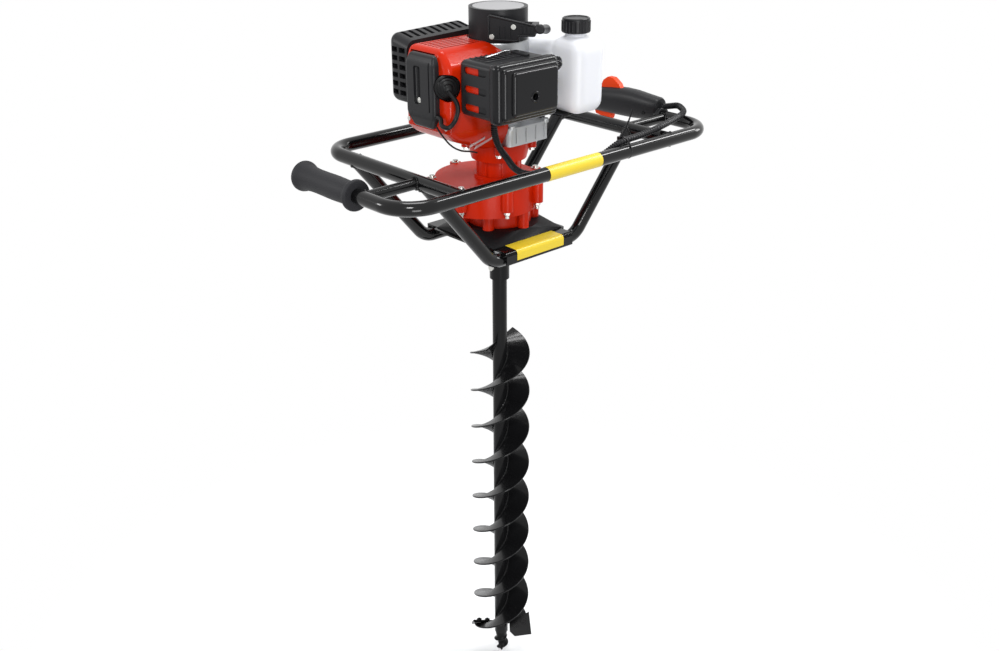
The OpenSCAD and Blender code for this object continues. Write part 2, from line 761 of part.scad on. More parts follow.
module clutch_shoes() {
    color(steel) for (s = [0, 180]) rotate(s) difference() {
        translate([0, 0, z_neck + 23]) ring(neck_r - 9.5, 12, z_flange + 14 - seat - z_neck - 23);
        box(-40, 40, -40, 2, z_neck, z_neck + 60);
    }
}

// moulded covers
module slab(x0, x1, y0, y1, z, h) {
    translate([x0, y0, z]) cube([x1 - x0, y1 - y0, h]);
}

// the shroud's outer form, drawn in by d
module shroud_form(d) {
    hull() {
        slab(-shroud_x + d, -6, -shroud_y + d, shroud_y - d, z_crank - shroud_low, 1);
        slab(-shroud_x + d, -6, -shroud_y + d, shroud_y - d, z_crank + shroud_top - 24 - d, 1);
        slab(-shroud_x + 6 + d, -6, -shroud_y + 26 + d, shroud_y - 4 - d, z_crank + shroud_top - 1 - d, 1);
    }
}

module cylinder_shroud() {
    color(orange) difference() {
        shroud_form(0);
        difference() {
            shroud_form(wall);
            box(-shroud_x, 0, -99, 99, z_crank - shroud_low - 1, z_crank - shroud_low - 0.5);
        }
        box(-200, 0, -shroud_y + wall, shroud_y - wall, z_crank - shroud_low - 1, z_crank - shroud_low + 3);
        box(-20, 0, -99, 99, z_crank - 99, z_crank + 99);
        translate([0, 0, z_blow - 2]) cylinder(h = 99, r = blow_r + 1);
        translate([0, 0, z_engine]) cylinder(h = 200, r = crankcase_r + 1);
        box(-shroud_x - 1, -shroud_x + wall + 1, -22, 24, z_crank - 40, z_crank + 42);
        rod(plug_at, plug_at + 80 * plug_dir, 19);
        for (s = [-1, 1]) rod([-port_x, s * (shroud_y - 9), z_crank], [-port_x, s * (shroud_y + 9), z_crank], 16);
        for (k = [0:5]) box(-124, -50, -16 + 9 * k, -12 + 9 * k, z_crank + shroud_top - 9, z_crank + shroud_top + 9);
        box(-shroud_x, -124 - 6, -16, 38, z_crank + shroud_top - 16, z_crank + shroud_top - 8);
    }
}

// the funnel under the shroud, drawn in by d
module funnel_form(d) {
    hull() {
        slab(-shroud_x + d, -26 - seat, -shroud_y + d, shroud_y - d, z_crank - shroud_low - 1 - seat, 1);
        slab(-shroud_x + 14 + d, -26 - seat, -shroud_y + d, shroud_y - d, z_crank - shroud_low - 14, 1);
        slab(-62 + d, -26 - seat, -34 + d, 34 - d, z_engine + 1 + d, 1);
    }
}

module lower_shroud() {
    color(orange) difference() {
        funnel_form(0);
        translate([0, 0, wall]) funnel_form(wall);
        translate([0, 0, 0.5]) funnel_form(wall);
        box(-30, 0, -30, 30, z_engine, z_crank);
        translate([0, 0, z_engine]) cylinder(h = 200, r = crankcase_r + 1);
    }
}

module end_guard() {
    x0 = -shroud_x - 11;
    color(dark) difference() {
        hull() {
            box(x0 + 5, -shroud_x - seat, guard_y0 + 12, 24, z_crank - 52, z_crank - 40);
            box(x0, -shroud_x - seat, guard_y0 + 5, 29, z_crank - 34, z_crank + 44);
            box(x0 + 4, -shroud_x - seat, guard_y0, 34, z_crank - 36, z_crank + 50);
        }
        box(x0 - 1, x0 + 7, -2, 18, z_crank - 18, z_crank + 40);
        rod(plug_at, plug_at + 80 * plug_dir, 19);
    }
}

module muffler() {
    color(steel) {
        difference() {
            round_box_y(-124, -20, guard_back + 8, guard_back + guard_d - 8, z_guard + 8, z_guard + guard_h - 10, 10);
            round_box_y(-122, -22, guard_back + 10, guard_back + guard_d - 10, z_guard + 10, z_guard + guard_h - 12, 8);
            rod([-port_x, guard_back, z_crank], [-port_x, guard_back + 12, z_crank], 9);
        }
        difference() {
            rod([-port_x, shroud_y + 1 + seat, z_crank], [-port_x, guard_back + 8, z_crank], 14);
            rod([-port_x, shroud_y, z_crank], [-port_x, guard_back + 12, z_crank], 9);
        }
    }
}

module muffler_guard() {
    x0 = -138;
    x1 = x0 + guard_len;
    y1 = guard_back + guard_d;
    color(dark) difference() {
        hull() {
            box(x0, x1, guard_back - 2 + seat, y1 - 12, z_guard, z_guard + guard_h - 8);
            box(x0 + 8, x1 - 8, guard_back - 2 + seat, y1 - 6, z_guard + 2, z_guard + guard_h);
            box(x0 + 12, x1 - 12, guard_back, y1, z_guard + 8, z_guard + guard_h - 8);
        }
        hull() {
            box(x0 + wall, x1 - wall, guard_back - 4, y1 - 13, z_guard + wall, z_guard + guard_h - 10);
            box(x0 + 10, x1 - 10, guard_back - 4, y1 - 8, z_guard + wall + 2, z_guard + guard_h - wall);
            box(x0 + 14, x1 - 14, guard_back - 4, y1 - wall, z_guard + 10, z_guard + guard_h - 10);
        }
        for (k = [0:9]) box(x0 + 14 + 12 * k, x0 + 20 + 12 * k, guard_back + 6, y1 - 8, z_guard + guard_h - 14, z_guard + guard_h + 1);
        for (k = [0:5]) for (j = [0, 1])
            box(x0 - 1, x0 + 9, guard_back + 8 + 14 * j, guard_back + 18 + 14 * j, z_guard + 14 + 11 * k, z_guard + 20 + 11 * k);
        for (k = [0:9]) box(x0 + 14 + 12 * k, x0 + 20 + 12 * k, y1 - 8, y1 + 1, z_guard + 16, z_guard + guard_h - 18);
    }
}

// starter
module starter_housing() {
    color(black) difference() {
        union() {
            translate([0, 0, z_starter]) cylinder(h = starter_h, r = starter_r);
            rotate(pull_turn) {
                translate([0, -starter_r + 1, pull_z]) rotate([90, 0, 0]) linear_extrude(6)
                    polygon([[-4, -13], [40, -14], [40, -6], [pull_end, -6], [pull_end, 8], [-4, 21]]);
                box(pull_end - 8, pull_end, -starter_r - 5, pull_y + 14, pull_z - 6, pull_z + 8);
                box(starter_r - 5, pull_end, pull_y + 8, pull_y + 14, pull_z - 6, pull_z + 8);
            }
        }
        difference() {
            translate([0, 0, z_starter - 1]) cylinder(h = starter_h - 3 + 1, r = starter_r - wall);
            translate([0, 0, z_starter + 8]) cylinder(h = starter_h, r = 6);
        }
        translate([0, 0, z_starter + starter_h - 1]) cylinder(h = 2, r = starter_r - 5);
        rotate(pull_turn) rod([26, pull_y, pull_z], [pull_end + 6, pull_y, pull_z], 2.5);
    }
}

module starter_reel() {
    color(white) translate([0, 0, pull_z - 8]) difference() {
        union() {
            cylinder(h = 16, r = reel_r - 4);
            cylinder(h = 2, r = reel_r);
            translate([0, 0, 14]) cylinder(h = 2, r = reel_r);
        }
        translate([0, 0, -1]) cylinder(h = 18, r = 6 + run);
    }
}

module starter_rope() {
    color(dark) rotate(pull_turn) rod([pull_end - 11, pull_y, pull_z], [pull_end + 3, pull_y, pull_z], 2);
}

module starter_handle() {
    color(black) rotate(pull_turn) difference() {
        union() {
            translate([pull_end + 8, pull_y, pull_z]) rotate([-10, 0, 0]) translate([0, -pull_len / 2, 0])
                rotate([-90, 0, 0]) rotate_extrude()
                polygon([[0, 0], [5, 0], [7, 2], [7, 10], [6, 20], [6, pull_len - 20], [7, pull_len - 10],
                    [7, pull_len - 2], [5, pull_len], [0, pull_len]]);
            rod([pull_end + gap, pull_y, pull_z], [pull_end + 8, pull_y, pull_z], 6);
        }
        rod([pull_end - 4, pull_y, pull_z], [pull_end + 3, pull_y, pull_z], 2);
    }
}

// intake
module carburettor() {
    color(alloy) difference() {
        union() {
            rod([-port_x, -shroud_y - 1 - seat, z_crank], [-port_x, -filter_front + 14, z_crank], 15);
            box(-port_x - 18, -port_x + 18, -filter_back - 36, -filter_back - 10, z_crank - 18, z_crank + 20);
            rod([-port_x, -filter_back - 24, z_crank - 26], [-port_x, -filter_back - 24, z_crank - 10], 12);
        }
        rod([-port_x, -shroud_y, z_crank], [-port_x, -filter_front, z_crank], 9);
    }
}

fx0 = filter_x - filter_w / 2;
fx1 = filter_x + filter_w / 2;
primer_p = [fx1 + 11, -filter_front, z_filter + filter_h - 14];
choke_p = [-40, -filter_back - 26, z_filter + filter_h];

module filter_case() {
    color(black) difference() {
        union() {
            round_box_y(fx0, fx1, -filter_front, -filter_back, z_filter, z_filter + filter_h, 9);
            rod(primer_p + [0, -1, 0], primer_p + [0, 12, 0], 10);
            box(fx1 - 1, fx1 + 8, -filter_front + 2, -filter_front + 12, primer_p[2] - 6, primer_p[2] + 6);
        }
        rod(primer_p + [0, -2, 0], primer_p + [0, 9, 0], 7 + run);
        round_box_y(fx0 + wall, fx1 - wall, -filter_front + wall, -filter_back + 1, z_filter + wall, z_filter + filter_h - wall, 7);
        rod([-port_x, -filter_front - 1, z_crank], [-port_x, -filter_front + 9, z_crank], 16);
        for (k = [0:2]) box(fx0 - 1, fx0 + 5, -filter_front + 6, -filter_back - 9, z_filter + 11 + 26 * k, z_filter + 21 + 26 * k);
        for (k = [0:3]) box(fx0 + 16 + 12 * k, fx0 + 21 + 12 * k, -filter_back - 36, -filter_back - 8, z_filter + filter_h - 5, z_filter + filter_h + 1);
        translate(choke_p - [0, 0, 9]) cylinder(h = 12, r = 3 + run);
    }
}

module filter_element() {
    color(dark) difference() {
        round_box_y(fx0 + 6, fx1 - 6, -filter_front - 14, -filter_front - seat, z_filter + 6, z_filter + filter_h - 6, 5);
        rod([-port_x, -filter_front - 20, z_crank], [-port_x, -filter_front + 9, z_crank], 8);
        rod([filter_x, -filter_front - 40, z_crank], [filter_x, -filter_front + 9, z_crank], 7);
    }
}

module filter_cover() {
    y0 = -filter_front - filter_cover_d;
    color(black) difference() {
        union() {
            round_box_y(fx0 - 2, fx1 + 2, y0 + 14, -filter_front - seat, z_filter - 2, z_filter + filter_h + 2, 11);
            round_box_y(fx0 + 4, fx1 - 4, y0 + 6, y0 + 15, z_filter + 4, z_filter + filter_h - 4, 10);
            round_box_y(fx0 + 12, fx1 - 8, y0, y0 + 7, z_filter + 10, z_filter + filter_h - 10, 8);
        }
        round_box_y(fx0 + 5, fx1 - 5, y0 + 9, -filter_front + 1, z_filter + 5, z_filter + filter_h - 5, 5);
        rod([filter_x, y0 - 1, z_crank], [filter_x, y0 + 12, z_crank], 5);
    }
}

module choke_lever() {
    color(black) {
        translate(choke_p - [0, 0, 7]) cylinder(h = 12, r = 3);
        translate(choke_p + [0, 0, gap]) cylinder(h = 5, r = 6);
        translate(choke_p + [-4, -26, gap]) cube([8, 26, 4]);
    }
}

module primer_bulb() {
    color(black) {
        rod(primer_p + [0, -3, 0], primer_p + [0, 4, 0], 7);
        translate(primer_p + [0, -3, 0]) sphere(6);
    }
}

// fuel tank
module pillow(x0, x1, y0, y1, z0, z1, r, n) {
    hull() for (x = [x0 + r, x1 - r]) for (y = [y0 + r, y1 - r]) for (z = [z0 + r, z1 - r])
        translate([x, y, z]) sphere(r, $fn = n);
}

module tank_form(d, n) {
    pillow(tank_left + d, tank_left + tank_x - d, tank_y0 + d, tank_y0 + tank_front - d,
        z_tank + d, z_tank + tank_h - d, 18 - d, n);
    pillow(tank_left + d, tank_left + tank_x - d, tank_y0 + tank_front - 22 + d, tank_y0 + tank_len - d,
        z_tank + d, z_tank + tank_rear_h - d, 18 - d, n);
}

module fuel_tank() {
    color(white) difference() {
        union() {
            tank_form(0, hull_fn);
            translate([tank_mid, neck_y, z_tank + tank_h - 6]) cylinder(h = 24, r = cap_d / 2 - 6);
        }
        tank_form(tank_wall, 16);
        translate([tank_mid, neck_y, z_tank + tank_h - 12]) cylinder(h = 40, r = cap_d / 2 - 9);
    }
}

module tank_cap() {
    color(black) translate([tank_mid, neck_y, z_cap]) difference() {
        union() {
            cylinder(h = cap_h, r = cap_d / 2 - 1);
            for (k = [0:23]) rotate(15 * k) translate([cap_d / 2 - 1.6, 0, 1]) cylinder(h = cap_h - 4, r = 1.6, $fn = 12);
        }
        translate([0, 0, -1]) cylinder(h = cap_h - 2, r = cap_d / 2 - 5);
    }
}

module cap_seal() {
    color(dark) translate([tank_mid, neck_y, z_tank + tank_h + 18 + gap]) ring(cap_d / 2 - 6, cap_d / 2 - 9, z_cap + cap_h - 3 - z_tank - tank_h - 18 - 2 * gap);
}

module tank_bracket() {
    color(black) {
        box(57 + seat, 60 + seat, -40, 30, z_engine + 4, z_tank - seat);
        box(57 + seat, tank_left + tank_x - 16, -80, 34, z_tank - 3 - seat, z_tank - seat);
    }
}

// hand controls
module left_grip() {
    color(dark) translate([-grip_x, throttle_y0 - 4, z_frame]) rotate([-90, 0, 0]) rotate_extrude()
        polygon([[tube_r + seat / 2, 0], [21, 0], [22, 2], [22, 6], [18, 8], [grip_d / 2 - 1.5, 16], [grip_d / 2, 50],
            [grip_d / 2 - 1, 80], [grip_d / 2, grip_len - 20], [22, grip_len - 6], [22, grip_len - 2], [20, grip_len],
            [0, grip_len], [0, grip_len - 4], [tube_r + seat / 2, grip_len - 4]]);
}

module throttle_form() {
    w = throttle_w / 2;
    translate([grip_x, 0, z_frame]) hull() {
        translate([0, throttle_y0, 0]) rotate([-90, 0, 0]) cylinder(h = 2, r = w - 3, $fn = hull_fn);
        for (z = [-throttle_h / 2 + w, throttle_h / 2 - w]) {
            translate([0, throttle_y0 + 24, z]) rotate([-90, 0, 0]) cylinder(h = 60, r = w, $fn = hull_fn);
            translate([0, throttle_y0 + throttle_len - 30, z]) rotate([-90, 0, 0]) cylinder(h = 22, r = w, $fn = hull_fn);
        }
        translate([0, throttle_y0 + throttle_len - 2, 0]) rotate([-90, 0, 0]) cylinder(h = 2, r = w - 4, $fn = hull_fn);
    }
}

module throttle_shell(s) {
    difference() {
        throttle_form();
        box(grip_x - (s > 0 ? 99 : 0), grip_x + (s > 0 ? 0 : 99), -99, 199, z_frame - 99, z_frame + 99);
        rod([grip_x, throttle_y0 - 1, z_frame], [grip_x, slot_y0 - 3, z_frame], tube_r + seat / 2);
        box(grip_x - slot_w / 2, grip_x + slot_w / 2, slot_y0, slot_y1, z_frame - 60, z_frame + 60);
        pin_line(trigger_y, trigger_z, 2 + seat / 2);
        pin_line(lock_y, lock_z, 2 + seat / 2);
        box(grip_x + slot_w / 2 + 5, grip_x + 40, 52, 72, z_frame - 4, z_frame + 4);
    }
}

module pin_line(y, z, r) {
    rod([grip_x - throttle_w / 2 + 4, y, z], [grip_x + throttle_w / 2 - 4, y, z], r);
}

module throttle_shell_inner() {
    color(dark) throttle_shell(-1);
}

module throttle_shell_outer() {
    color(dark) throttle_shell(1);
}

module control_pins() {
    color(steel) {
        pin_line(trigger_y, trigger_z, 2);
        pin_line(lock_y, lock_z, 2);
    }
}

module throttle_trigger() {
    color(orange) translate([grip_x - slot_w / 2 + gap, trigger_y, trigger_z]) rotate([90, 0, 90]) difference() {
        linear_extrude(slot_w - 2 * gap) union() {
            circle(4.5);
            polygon([[-2, 4], [-44, -4], [-44, -12], [-40, -24], [-34, -21], [-30, -24], [-24, -21], [-20, -24],
                [-14, -21], [-6, -20], [3, -3]]);
        }
        translate([0, 0, -1]) cylinder(h = slot_w + 2, r = 2 + run);
    }
}

module lockout_lever() {
    color(orange) translate([grip_x - slot_w / 2 + gap, lock_y, lock_z]) rotate([90, 0, 90]) difference() {
        linear_extrude(slot_w - 2 * gap) union() {
            circle(4.5);
            polygon([[2, 4], [-6, 20], [-16, 27], [-28, 27], [-42, 18], [-48, 8], [-48, 2], [-2, -4]]);
        }
        translate([0, 0, -1]) cylinder(h = slot_w + 2, r = 2 + run);
    }
}

module stop_switch() {
    color(orange) box(grip_x + slot_w / 2 + 5 + gap, grip_x + throttle_w / 2 + 3, 52 + gap, 62, z_frame - 4 + gap, z_frame + 4 - gap);
}

cable_path = route([[-75, -74, z_filter - seat], [-73, -71, z_engine + 37], [-68, -75, z_engine + 15],
    [-66, -90, z_frame + 10], [-69, -110, z_frame - 0.5], [-62, -127, z_frame - 6], [-35, -143, z_frame - 7.5],
    [30, -146.5, z_frame - 6.5], [75, -147, z_frame - 1.5], [109, -152, z_frame + 12.5], [162, -147, z_frame + 13],
    [209, -145.5, z_frame + 17.5], [grip_x - 35, -124.5, z_frame + 17], [grip_x - 7, -112, z_frame + 18],
    [grip_x + 6, -97, z_frame + 19.5], [grip_x + 12, -83, z_frame + 20], [grip_x + 9, -70, z_frame + 17.5],
    [grip_x + 3, -56, z_frame + 14.5]], 8);

module throttle_cable() {
    color(black) sweep(cable_path, [for (i = [0:len(cable_path) - 1]) i % 2 == 0 ? conduit_d / 2 : conduit_d / 2 - 0.8], 8);
}

handlebar();
side_loop();
front_leg_tube();
rear_leg_tube();
brace_tubes();
base_plate();
gearbox_mount();
left_grip();
throttle_shell_inner();
throttle_shell_outer();
control_pins();
throttle_trigger();
lockout_lever();
stop_switch();
gearbox_case();
gearbox_cover();
gearbox_bolts();
bearings();
output_shaft();
output_gear();
layshaft();
layshaft_gear();
input_shaft();
clutch_drum();
clutch_housing();
bit_tube();
bit_flights();
bit_blades();
bit_point();
coupling_bolt();
crankcase();
crankshaft();
connecting_rod();
piston();
cylinder_block();
flywheel();
clutch_shoes();
spark_plug();
plug_boot();
ht_lead();
cylinder_shroud();
lower_shroud();
end_guard();
muffler();
muffler_guard();
starter_housing();
starter_reel();
starter_rope();
starter_handle();
carburettor();
choke_lever();
filter_case();
filter_element();
filter_cover();
primer_bulb();
fuel_tank();
tank_cap();
cap_seal();
tank_bracket();
throttle_cable();
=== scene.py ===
"""Looks of the earth auger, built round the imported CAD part.

The CAD nodes give the places and sizes. Most are copied and softened at their edges. The tubes, flights,
cords, shrouds and the tank are drawn again with finer curves, and small pieces such as welds, screws, ties
and plain labels are added. Lengths are millimetres until a mesh is stored, and the studio's are metres.
The front of the machine faces -Y and its left side -X.
"""

import logging
import math
from collections.abc import Callable
from dataclasses import dataclass, field
from enum import Enum

import bmesh
import bpy
from mathutils import Matrix, Vector


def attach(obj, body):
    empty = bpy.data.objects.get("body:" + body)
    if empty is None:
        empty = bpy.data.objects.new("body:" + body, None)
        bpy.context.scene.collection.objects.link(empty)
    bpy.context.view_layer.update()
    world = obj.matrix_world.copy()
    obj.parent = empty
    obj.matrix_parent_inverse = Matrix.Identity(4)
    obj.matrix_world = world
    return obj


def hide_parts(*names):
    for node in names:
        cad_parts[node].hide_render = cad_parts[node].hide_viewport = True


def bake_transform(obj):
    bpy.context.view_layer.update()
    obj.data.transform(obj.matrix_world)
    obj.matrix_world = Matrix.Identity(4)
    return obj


LOG = logging.getLogger("auger")
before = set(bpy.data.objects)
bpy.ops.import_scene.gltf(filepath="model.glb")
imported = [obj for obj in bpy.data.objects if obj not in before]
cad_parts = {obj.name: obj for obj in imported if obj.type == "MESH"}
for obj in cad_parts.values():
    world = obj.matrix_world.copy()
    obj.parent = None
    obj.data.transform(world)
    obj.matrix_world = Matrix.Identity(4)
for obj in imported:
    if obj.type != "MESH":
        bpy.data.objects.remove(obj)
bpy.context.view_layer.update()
MM = 0.001

Point = tuple[float, float, float]
Spot = Point | Vector
Colour = tuple[float, float, float, float]
Profile = tuple[tuple[float, float], ...]
Section = tuple[float, float, float, float]
Stripe = tuple[float, float, float, float, float]
# The low and high corners of a box.
Block = tuple[Point, Point]
# The low and high corners of a box, the way to the next box and the count of boxes.
Row = tuple[Point, Point, Point, int]
# The two x, the two y and the height of a level rectangle.
Level = tuple[float, float, float, float, float]
# The low z, high z, low radius, high radius and sides of an upright rod.
Tier = tuple[float, float, float, float, int]
# The two ends, radius and sides of a rod.
Pin = tuple[Point, Point, float, int]

# Edges sharper than these angles in degrees stay sharp when a piece is shaded.
CRISP = 32.0
MOULDED = 40.0
ROUNDED = 60.0


class Body(str, Enum):
    """Bodies of the record that a piece can ride."""

    FRAME = "frame"
    BIT = "bit"
    HANDLE = "starter_handle"
    CAP = "tank_cap"
    TRIGGER = "trigger"
    LOCKOUT = "lockout"
    STOP = "stop_switch"
    CHOKE = "choke"
    PRIMER = "primer"


@dataclass(frozen=True)
class Sizes:
    """Sizes shared with the CAD part, in millimetres and degrees."""

    frame_z: float = 979.5
    tube_r: float = 10.5
    brace_r: float = 8.0
    grip_x: float = 312.0
    front_y: float = 163.0
    rear_y: float = 157.0
    side_x: float = 213.0
    leg_y: float = 80.0
    leg_w: float = 88.0
    leg_z: float = 829.5
    brace_y: float = 70.0
    engine_z: float = 989.0
    starter_z: float = 1132.0
    starter_h: float = 57.0
    lead: float = 140.0
    flight_low: float = 62.0
    flight_top: float = 646.0
    flight_phase: float = 140.0


SIZE = Sizes()


def srgb(red: int, green: int, blue: int) -> Colour:
    """Turns screen values into linear colour.

    Args:
        red: Red from 0 to 255.
        green: Green from 0 to 255.
        blue: Blue from 0 to 255.

    Returns:
        The colour, opaque.
    """
    linear = []
    for value in (red, green, blue):
        part = value / 255
        linear.append(part / 12.92 if part <= 0.04045 else ((part + 0.055) / 1.055) ** 2.4)
    return (linear[0], linear[1], linear[2], 1.0)


def clamp(value: float) -> float:
    """Keeps a value within 0 and 1."""
    return min(max(value, 0.0), 1.0)


def around(count: int) -> list[float]:
    """Angles that share a full turn evenly, in radians."""
    return [2 * math.pi * step / count for step in range(count)]


def polar(degrees: float, reach: float) -> Vector:
    """A level arm at an angle."""
    turn = math.radians(degrees)
    return Vector((math.cos(turn), math.sin(turn), 0)) * reach


def spun(degrees: float) -> Matrix:
    """A turn about the upright axis."""
    return Matrix.Rotation(math.radians(degrees), 4, "Z")


def lying(spot: Point, way: int = 1) -> Matrix:
    """The place at a spot whose Z axis points to the rear, or to the front where way is -1."""
    return Matrix.Translation(spot) @ Matrix.Rotation(-way * math.pi / 2, 4, "X")


@dataclass
class Sock:
    """A shader socket that takes part in sums."""

    tree: bpy.types.NodeTree
    end: bpy.types.NodeSocket

    def maths(self, kind: str, other: "Sock | float" = 0.0, swap: bool = False) -> "Sock":
        """Joins this socket to a math node.

        Args:
            kind: The node's operation.
            other: The second term.
            swap: Puts the second term first.

        Returns:
            The result's socket.
        """
        node = self.tree.nodes.new("ShaderNodeMath")
        node.operation = kind
        terms = (other, self) if swap else (self, other)
        for place, term in zip(node.inputs, terms):
            if isinstance(term, Sock):
                self.tree.links.new(term.end, place)
            else:
                place.default_value = term
        return Sock(self.tree, node.outputs[0])

    def __mul__(self, other: "Sock | float") -> "Sock":
        """The product of two values."""
        return self.maths("MULTIPLY", other)

    def __rmul__(self, other: float) -> "Sock":
        """The product with a number in front."""
        return self.maths("MULTIPLY", other, True)

    def __or__(self, other: "Sock") -> "Sock":
        """The greater of two masks."""
        return self.maths("MAXIMUM", other)


class Shade:
    """The node tree of one material."""

    def __init__(self, name: str) -> None:
        """Starts a material with an empty tree, a shader and an output.

        Args:
            name: The material's name.
        """
        self.material = bpy.data.materials.new(name)
        self.material.use_nodes = True
        self.tree = self.material.node_tree
        self.tree.nodes.clear()
        out = self.node("ShaderNodeOutputMaterial")
        self.skin = self.node("ShaderNodeBsdfPrincipled")
        self.tree.links.new(self.skin.outputs[0], out.inputs["Surface"])
        place = self.node("ShaderNodeTexCoord")
        self.place = Sock(self.tree, place.outputs["Object"])

    def node(self, kind: str, settings: dict | None = None, inputs: dict | None = None) -> bpy.types.Node:
        """Adds any node.

        Args:
            kind: The node's type name.
            settings: Its properties.
            inputs: Its inputs by name or number, each a constant or a Sock.

        Returns:
            The node.
        """
        made = self.tree.nodes.new(kind)
        for name, value in (settings or {}).items():
            setattr(made, name, value)
        for name, value in (inputs or {}).items():
            if isinstance(value, Sock):
                self.tree.links.new(value.end, made.inputs[name])
            else:
                made.inputs[name].default_value = value
        return made

    def noise(self, scale: float, detail: float = 2.0, stretch: Point = (1, 1, 1)) -> Sock:
        """Adds noise over the piece.

        Args:
            scale: Features per metre.
            detail: Finer layers of the noise.
            stretch: Scale along each axis.

        Returns:
            The noise's socket.
        """
        spread = self.node("ShaderNodeMapping", None, {"Vector": self.place, "Scale": stretch})
        made = self.node("ShaderNodeTexNoise", None,
                         {"Vector": Sock(self.tree, spread.outputs[0]), "Scale": scale, "Detail": detail})
        return Sock(self.tree, made.outputs[0])

    def between(self, value: Sock, low: float, high: float, start: float = 0.0, end: float = 1.0) -> Sock:
        """Spreads a part of a value's range over another range."""
        ends = {"From Min": low, "From Max": high, "To Min": start, "To Max": end}
        return Sock(self.tree, self.node("ShaderNodeMapRange", None, {"Value": value, **ends}).outputs[0])

    def mix(self, share: Sock, first: "Sock | Colour", second: Colour) -> Sock:
        """Mixes two colours."""
        made = self.node("ShaderNodeMix", {"data_type": "RGBA"}, {0: share, 6: first, 7: second})
        return Sock(self.tree, made.outputs[2])

    def give(self, name: str, value: "Sock | float | tuple") -> None:
        """Sets or feeds one of the shader's inputs.

        Args:
            name: The input's name.
            value: A constant or a socket.
        """
        if isinstance(value, Sock):
            self.tree.links.new(value.end, self.skin.inputs[name])
        else:
            self.skin.inputs[name].default_value = value

    def bump(self, height: Sock, strength: float, depth: float) -> None:
        """Feeds a bump to the shader's normal, with depth in metres."""
        made = self.node("ShaderNodeBump", None, {"Height": height, "Strength": strength, "Distance": depth})
        self.give("Normal", Sock(self.tree, made.outputs[0]))


MADE: dict[str, bpy.types.Material] = {}
CLOUD_SCALE = 9.0
CLOUD_RANGE = (0.3, 0.7)
CLOUD_SHARE = 0.12
CLOUD_DARK = 0.72
GLOSS_RANGE = (0.25, 0.75)
SCUFF_SCALE = 160.0
SCUFF_RANGE = (0.72, 0.84)
SCUFF_SHARE = 0.6
COAT_ROUGHNESS = 0.08
LIGHT_DEPTH = (0.02, 0.02, 0.018)


@dataclass(frozen=True)
class Finish:
    """A surface: its colour, gloss, grain and wear.

    Grain is in features per metre and depth in metres.
    """

    name: str
    slot: str
    colour: Colour
    roughness: float
    spread: float = 0.06
    metallic: float = 0.0
    coat: float = 0.0
    grain: float = 900.0
    depth: float = 0.0001
    strength: float = 0.15
    stretch: Point = (1, 1, 1)
    worn: Colour | None = None
    wear: float = 0.0
    soft: float = 0.0
    shine: float = 0.5

    def material(self) -> bpy.types.Material:
        """Gives the finish as a material.

        Returns:
            The material, made once.
        """
        if self.name not in MADE:
            MADE[self.name] = self.make().material
        return MADE[self.name]

    def make(self) -> Shade:
        """Builds the material: cloudy gloss, fine grain and thin wear.

        Returns:
            The material's tree.
        """
        shade = Shade(f"{self.name}_finish")
        cloud = shade.noise(CLOUD_SCALE, 3.0)
        fine = shade.noise(self.grain, 2.0, self.stretch)
        tone = shade.between(cloud, *CLOUD_RANGE, 0.0, CLOUD_SHARE)
        darker = tuple(part * CLOUD_DARK for part in self.colour[:3]) + (1.0,)
        base = shade.mix(tone, self.colour, darker)
        if self.worn:
            scuff = shade.noise(SCUFF_SCALE, 5.0)
            share = shade.between(scuff, *(edge - self.wear for edge in SCUFF_RANGE))
            base = shade.mix(share * SCUFF_SHARE, base, self.worn)
        shade.give("Base Color", base)
        gloss = shade.between(cloud, *GLOSS_RANGE, self.roughness - self.spread, self.roughness + self.spread)
        shade.give("Roughness", gloss)
        shade.give("Metallic", self.metallic)
        shade.give("Coat Weight", self.coat)
        shade.give("Coat Roughness", COAT_ROUGHNESS)
        shade.give("Specular IOR Level", self.shine)
        if self.soft:
            shade.give("Subsurface Weight", self.soft)
            shade.give("Subsurface Radius", LIGHT_DEPTH)
            shade.give("Subsurface Scale", 1.0)
        shade.bump(fine, self.strength, self.depth)
        return shade


BLACK_PAINT = Finish("black_paint", "frame_paint", srgb(10, 10, 11), 0.16, 0.04, coat=0.4,
                     grain=420.0, depth=0.0002, strength=0.05, shine=0.12)
BIT_PAINT = Finish("bit_paint", "bit_paint", srgb(17, 17, 18), 0.22, 0.07, coat=0.12, grain=300.0,
                   depth=0.0003, strength=0.1, worn=srgb(60, 58, 56), wear=0.02, shine=0.12)
CUTTER = Finish("cutter_steel", "cutter_steel", srgb(13, 13, 14), 0.34, 0.08, grain=500.0,
                depth=0.0003, strength=0.2, worn=srgb(60, 60, 60), wear=0.04, shine=0.1)
SATIN = Finish("satin_paint", "frame_paint", srgb(20, 20, 22), 0.5, depth=0.0002, strength=0.2, shine=0.15)
ORANGE_CAST = Finish("orange_cast", "gearbox_orange", srgb(191, 35, 3), 0.33, coat=0.05, grain=380.0,
                     depth=0.0004, strength=0.18, shine=0.12)
ORANGE_PLASTIC = Finish("orange_plastic", "shroud_orange", srgb(189, 35, 3), 0.25, 0.05, coat=0.08,
                        grain=700.0, strength=0.08, shine=0.14)
CONTROL = Finish("control_orange", "control_orange", srgb(224, 62, 6), 0.4, shine=0.2)
PLASTIC = Finish("black_plastic", "black_plastic", srgb(31, 31, 33), 0.36, 0.05, grain=1500.0,
                 depth=0.0002, strength=0.2, shine=0.2)
GLOSSY = Finish("gloss_black_plastic", "black_plastic", srgb(16, 16, 18), 0.18, 0.05, coat=0.12,
                grain=1200.0, strength=0.06, shine=0.16)
RUBBER = Finish("grip_rubber", "grip_rubber", srgb(32, 32, 35), 0.6, grain=1800.0,
                depth=0.0003, strength=0.3, shine=0.25)
